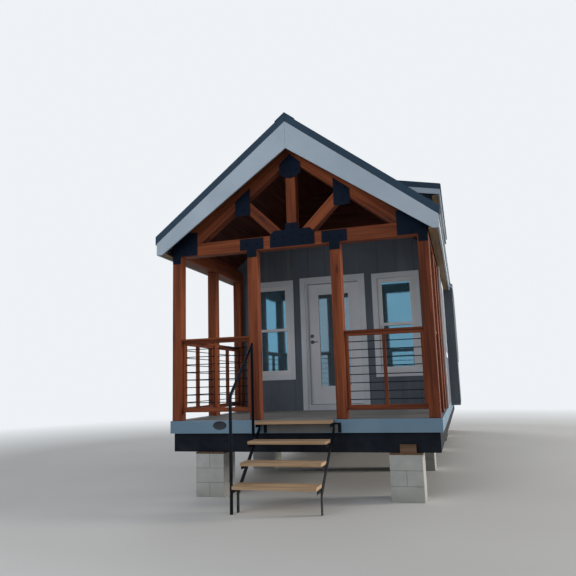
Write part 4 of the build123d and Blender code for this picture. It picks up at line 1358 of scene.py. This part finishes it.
@dataclass
class Wheels(Part):
    """Four tyres with ribbed tread and dished steel wheels with nuts and a hub cap."""

    x: float = 1.52
    centre: float = 0.42
    width: float = 0.2
    bore: float = 0.19
    grooves: tuple = (-0.45, -0.15, 0.15, 0.45)
    groove: tuple = ((-0.006, 0.0), (-0.004, 0.009), (0.004, 0.009), (0.006, 0.0))
    hub: tuple = ((-0.014, 0.042), (0.02, 0.042), (0.034, 0.036), (0.04, 0.02))
    nuts: int = 5
    nut: tuple = ((-0.016, 0.011), (0.004, 0.011), (0.008, 0.007))
    nut_circle: float = 0.062

    def tyre(self, pile: Pile, x: float, y: float, sign: int) -> None:
        """Tyre: a loop of radii with four grooves in the tread and rounded shoulders.

        Args:
            pile: Where the tyre goes.
            x: Middle of its width.
            y: Place of the axle.
            sign: 1 on the right side, -1 on the left.
        """
        w, r, b = self.width / 2, self.lv.tyre_radius, self.bore
        out = [(-w, b + 0.02), (-w, r - 0.06), (-w * 0.96, r - 0.03), (-w * 0.84, r - 0.006), (-w * 0.62, r)]
        tread = [(c * w * 1.1 + h, r - deep) for c in self.grooves for h, deep in self.groove]
        back = [(-h, q) for h, q in reversed(out)]
        loop = [*out, *tread, *back, (w * 0.8, b), (-w * 0.8, b)]
        turned(pile, (x, y, self.centre), (sign, 0, 0), loop, 48, closed=True)

    def wheel(self, paint: Pile, steel: Pile, x: float, y: float, sign: int) -> None:
        """Wheel: flange, dished disc, hub cap and five nuts on a circle.

        Args:
            paint: Pile of the painted disc.
            steel: Pile of the hub cap and the nuts.
            x: Middle of its width.
            y: Place of the axle.
            sign: 1 on the right side, -1 on the left.
        """
        axis, c = (sign, 0, 0), (x, y, self.centre)
        w, b = self.width / 2 - 0.02, self.bore
        dish = [(-w, 0.04), (-w, b - 0.004), (-w + 0.004, b), (w - 0.004, b), (w, b - 0.012),
                (w - 0.012, b - 0.03), (-0.02, b - 0.045), (-0.035, b - 0.075), (-0.02, 0.085),
                (-0.012, 0.06), (-0.012, 0.04)]
        turned(paint, c, axis, dish, 40)
        turned(steel, c, axis, self.hub, 20)
        for k in range(self.nuts):
            t, r = 2 * math.pi * k / self.nuts, self.nut_circle
            at = (x, y + r * math.sin(t), self.centre + r * math.cos(t))
            turned(steel, at, axis, self.nut, 6, soft=False)

    def build(self) -> None:
        """Make tyres, wheels and nuts."""
        rubber, paint, steel = Pile(), Pile(), Pile()
        for y in self.lv.axle_rows:
            for sign in (1, -1):
                self.tyre(rubber, sign * self.x, y, sign)
                self.wheel(paint, steel, sign * self.x, y, sign)
        rubber.build("ribbed_tyres", self.palette.rubber, "tyre_rubber", ("tyres",))
        paint.build("dished_wheels", self.palette.wheel, "wheel_paint", ("wheel_rims",))
        steel.build("hubs_and_nuts", self.palette.zinc, "hardware")


@dataclass
class RoofSeams(Part):
    """Raised seams of the sheet roofing on both slopes and on the dormers."""

    pitch: float = 0.406
    height: float = 0.022
    width: float = 0.012
    first: float = -0.10
    past_rear: float = 0.15
    edge: float = 0.003
    cap_edge: float = 0.140
    hidden_edge: float = 0.40
    hidden_rows: tuple = (2.12, 5.81)
    dormer_rows: tuple = (2.56, 5.37)
    dormer_meet: float = 0.145
    dormer_slope: float = 0.208
    dormer_spread: tuple = (2.17, 5.76)
    dormer_seams: int = 10

    def seam(self, pile: Pile, high: tuple, low: tuple, y: float) -> None:
        """One seam on both slopes, folded over at its top.

        Args:
            pile: Where the seam goes.
            high: Its upper end as distance from the ridge line and level.
            low: Its lower end.
            y: Place along the ridge.
        """
        (x0, z0), (x1, z1) = high, low
        h, w = self.height, self.width / 2
        for outline in both([(x0, z0 - 0.002), (x1, z1 - 0.002), (x1, z1 + h * 0.55), (x1 - 0.012, z1 + h),
                             (x0, z0 + h)]):
            prism(pile, outline, y - w, y + w, ease=0.003)

    def build(self) -> None:
        """Make the seams in rows along the ridge."""
        pile, lv = Pile(), self.lv
        end = lv.roof_half - self.edge
        for y in np.arange(self.first, lv.length + self.past_rear, self.pitch).tolist():
            if self.dormer_rows[0] < y < self.dormer_rows[1]:
                continue
            hidden = self.hidden_rows[0] < y < self.hidden_rows[1]
            x0 = self.hidden_edge if hidden else self.cap_edge
            self.seam(pile, (x0, lv.roof(x0)), (end, lv.roof(end)), y)
        reach, x0 = lv.roof_half - self.dormer_meet, self.dormer_meet + 0.02
        eave = lv.roof(self.dormer_meet) - self.dormer_slope * reach
        high, low = ((x, eave + self.dormer_slope * (lv.roof_half - x)) for x in (x0, end))
        for y in np.linspace(*self.dormer_spread, self.dormer_seams).tolist():
            self.seam(pile, high, low, y)
        pile.build("roof_seams", self.palette.sheet, "roof_metal")


@dataclass
class DoorSet(Part):
    """Lever, deadbolt and their roses on the entrance door."""

    x: float = -0.399
    front: float = 2.516
    lever_rise: float = 1.061
    bolt_rise: float = 1.165
    lever: tuple = ((-0.012, -0.009), (0.085, -0.008), (0.103, -0.004), (0.103, 0.002), (0.085, 0.008),
                    (-0.012, 0.009))
    thumb: tuple = ((-0.005, -0.018), (0.005, -0.018), (0.005, 0.018), (-0.005, 0.018))
    rose: tuple = ((0.0, 0.032), (0.005, 0.032), (0.009, 0.029), (0.010, 0.016), (0.010, 0.012))
    neck: tuple = ((0.009, 0.012), (0.013, 0.011), (0.036, 0.011), (0.040, 0.012))

    def build(self) -> None:
        """Make the furniture of both faces as one piece on the door."""
        pile, lv = Pile(), self.lv
        rows = ((self.lever_rise, self.lever, 0.028, 0.003), (self.bolt_rise, self.thumb, 0.030, 0.0015))
        for y, out in ((self.front, -1.0), (lv.door_back, 1.0)):
            for rise, outline, stand, ease in rows:
                z = lv.door_bottom + rise
                centre, axis = (self.x, y, z), (0.0, out, 0.0)
                turned(pile, centre, axis, self.rose, 28)
                turned(pile, centre, axis, self.neck, 16)
                y0, y1 = sorted((y + out * stand, y + out * self.neck[-1][0]))
                prism(pile, [(self.x + dx, z + dz) for dx, dz in outline], y0, y1, ease=ease)
        pile.build("lock_sets", self.palette.nickel, "hardware", ("door_hardware",), DOOR)


@dataclass
class Badge(Part):
    """Plain oval plate with a raised rim on the front rim board; it carries no lettering."""

    x: float = -1.073
    z: float = 0.912
    width: float = 0.194
    height: float = 0.112
    dish: tuple = ((0.0, 1.0), (0.002, 1.0), (0.0038, 0.985), (0.004, 0.93), (0.0034, 0.885),
                   (0.0022, 0.86), (0.0027, 0.5), (0.0029, 0.04))

    def build(self) -> None:
        """Make the plate: an oval dish within a rounded border."""
        pile, r = Pile(), self.width / 2
        turned(pile, (self.x, 0.0, self.z), (0.0, -1.0, 0.0), [(h, r * part) for h, part in self.dish], 64,
               stretch=self.height / self.width)
        pile.build("oval_plate", self.palette.bronze, "threshold_metal", ("rim_badge",))


class Dresser:
    """Gives every CAD node that stays its finish."""

    def __init__(self, palette: Palette, nodes: dict) -> None:
        """Keep the palette and the frame's nodes."""
        self.palette = palette
        self.nodes = nodes

    def table(self) -> dict:
        """Finish of each node by its name.

        Returns:
            Material of every node.
        """
        p = self.palette
        groups = {
            p.steel: "axles leaf_springs chassis_cross_members chassis_rails floor_platform railing_rods "
                     "stair_handrail stair_stringers",
            p.plate: "gusset_plates",
            p.barge: "barge_boards eave_fascias",
            p.trim: "door_head_and_sill door_jambs white_trim",
            p.soffit: "eave_soffits",
            p.siding: "bay_cheeks bay_face dormer_cheeks dormer_faces front_wall_gable front_wall_sides "
                      "rear_wall right_wall_over_bay side_walls",
            p.block: "block_piers",
            p.door: "door_slab",
            p.vinyl: "door_lite_frame window_frames jamb_fittings",
            p.glass: "window_glass",
            p.door_glass: "door_glass",
            p.nickel: "door_hardware door_hinges",
            p.roof: "main_roof middle_roof",
            p.sheet: "ridge_cap dormer_and_bay_roofs",
            p.rim: "end_rims side_rims",
            p.timber: "frieze_boards front_beam front_railings porch_posts side_beams side_railings "
                      "truss_chords truss_web",
            p.ceiling: "porch_ceiling gable_lining",
            p.planks: "house_floor",
            p.cap: "pier_caps",
            p.deck: "porch_deck",
            p.tread: "stair_treads",
            p.panel: "stair_hanger_panel",
            p.bronze: "rim_badge",
            p.rubber: "tyres",
            p.wheel: "wheel_rims",
        }
        return {name: finish for finish, names in groups.items() for name in names.split()}

    def dress(self) -> None:
        """Assign the finishes and stop if a node has none."""
        table = self.table()
        missing = sorted(set(self.nodes) - set(table))
        if missing:
            raise ValueError(f"no finish for {missing}")
        for name, node in self.nodes.items():
            if not node.material_slots:
                node.data.materials.append(table[name])
            for slot in node.material_slots:
                slot.material = table[name]
        LOG.info("dressed %d nodes", len(self.nodes))


@dataclass(frozen=True)
class Lamp:
    """Soft square lamp that points at a spot; where it isn't mirrored, the panes don't show it."""

    name: str
    place: tuple
    aim: tuple
    size: float
    power: float
    colour: tuple
    mirrored: bool = True

    def hang(self) -> None:
        """Add the lamp to the scene."""
        data = bpy.data.lights.new(self.name, "AREA")
        data.size = self.size
        data.energy = self.power
        data.color = self.colour
        lamp = placed(self.name, data)
        lamp.location = self.place
        lamp.visible_glossy = self.mirrored
        lamp.rotation_euler = (Vector(self.aim) - Vector(self.place)).to_track_quat("-Z", "Y").to_euler()


@dataclass
class Studio:
    """Pale floor, soft lamps and the camera at the photograph's viewing angle."""

    place: tuple = (2.0525, -12.0035, 1.439)
    yaw: float = 16.523
    pitch: float = 9.405
    roll: float = -1.708
    lens: float = 35.933
    soft_sky: tuple = (0.93, 0.96, 1.0)
    soft_strength: float = 0.33
    backdrop: tuple = (0.86, 0.89, 0.92)
    floor_shade: tuple = (0.66, 0.66, 0.65)
    floor_colour: tuple = (0.70, 0.70, 0.69)
    floor_reach: float = 150.0
    haze: tuple = (7.5, 17.0)
    lamps: tuple = (
        Lamp("key_lamp", (27.0, 2.2, 5.0), (0.0, -3.0, 2.2), 6.0, 6600.0, (1.0, 0.92, 0.83)),
        Lamp("fill_lamp", (-5.0, -17.0, 7.0), (0.0, -3.0, 2.4), 9.0, 620.0, (0.92, 0.96, 1.0), False),
        Lamp("rear_lamp", (-9.0, 16.0, 9.0), (0.0, 2.0, 2.5), 8.0, 800.0, (0.97, 0.98, 1.0)))

    def camera(self) -> None:
        """Set the camera: forward from yaw and pitch, then right and up turned by the roll."""
        yaw, pit, rol = (math.radians(v) for v in (self.yaw, self.pitch, self.roll))
        forward = Vector((-math.sin(yaw) * math.cos(pit), math.cos(yaw) * math.cos(pit), math.sin(pit)))
        right = forward.cross(Vector((0.0, 0.0, 1.0))).normalized()
        up = right.cross(forward)
        turned_right = right * math.cos(rol) + up * math.sin(rol)
        turned_up = -right * math.sin(rol) + up * math.cos(rol)
        data = bpy.data.cameras.new("view_camera")
        data.lens = self.lens
        data.sensor_width = 36.0
        data.clip_end = 400.0
        camera = placed("view_camera", data)
        rows = [(turned_right[i], turned_up[i], -forward[i], self.place[i]) for i in range(3)]
        camera.matrix_world = Matrix([*rows, (0.0, 0.0, 0.0, 1.0)])
        bpy.context.scene.camera = camera

    def world(self) -> None:
        """Even pale surroundings: dimmer for the light on the house than for what the camera sees."""
        world = bpy.data.worlds.new("studio")
        bpy.context.scene.world = world
        g = Graph(world)
        seen, through, glossy = (g.node("LightPath", f"Is {kind} Ray", {})
                                 for kind in ("Camera", "Transmission", "Glossy"))
        seen = g.math("MAXIMUM", g.math("MAXIMUM", seen, through), glossy)
        soft = g.node("Background", 0, {"Color": self.soft_sky, "Strength": self.soft_strength})
        pale = g.node("Background", 0, {"Color": self.backdrop})
        g.node("OutputWorld", None, {"Surface": g.node("MixShader", 0, {0: seen, 1: soft, 2: pale})})

    def floor(self) -> None:
        """Pale floor that fades into the backdrop with its distance from the middle of the house."""
        s = Sketch("studio_floor")
        tint = s.noise(s.place(), 0.4, 2.0)
        material = s.finish(s.blend(s.span(tint, 0.3, 0.7), self.floor_shade, self.floor_colour), 0.9)
        away = s.node("VectorMath", "Value", {0: s.place()}, operation="LENGTH")
        far = s.span(away, *self.haze) * s.node("LightPath", "Is Camera Ray", {})
        haze = s.node("Emission", 0, {"Color": self.backdrop})
        mix = s.node("MixShader", 0, {0: far, 1: s.shader.outputs["BSDF"], 2: haze})
        s.put(s.output.inputs["Surface"], mix)
        mesh = bpy.data.meshes.new("studio_floor")
        r = self.floor_reach
        mesh.from_pydata([(-r, -r, 0.0), (r, -r, 0.0), (r, r, 0.0), (-r, r, 0.0)], [], [[0, 1, 2, 3]])
        mesh.materials.append(material)
        placed("studio_floor", mesh)

    def build(self) -> None:
        """Set up the whole studio."""
        bpy.context.scene.view_settings.view_transform = "Standard"
        self.camera()
        self.world()
        self.floor()
        for lamp in self.lamps:
            lamp.hang()


def main() -> None:
    """Build the looks in order and report each piece."""
    logging.basicConfig(level=logging.INFO, format="%(message)s")
    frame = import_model()
    palette = Palette()
    Dresser(palette, frame["nodes"]).dress()
    for kind in (TimberFrame, PorchCeiling, PorchDeck, Railings, Stair, Bolts, Piers, Wheels, RoofSeams,
                 DoorSet, Badge):
        LOG.info("building %s", kind.__name__)
        kind(palette).build()
    Studio().build()


if __name__ == "__main__":
    main()
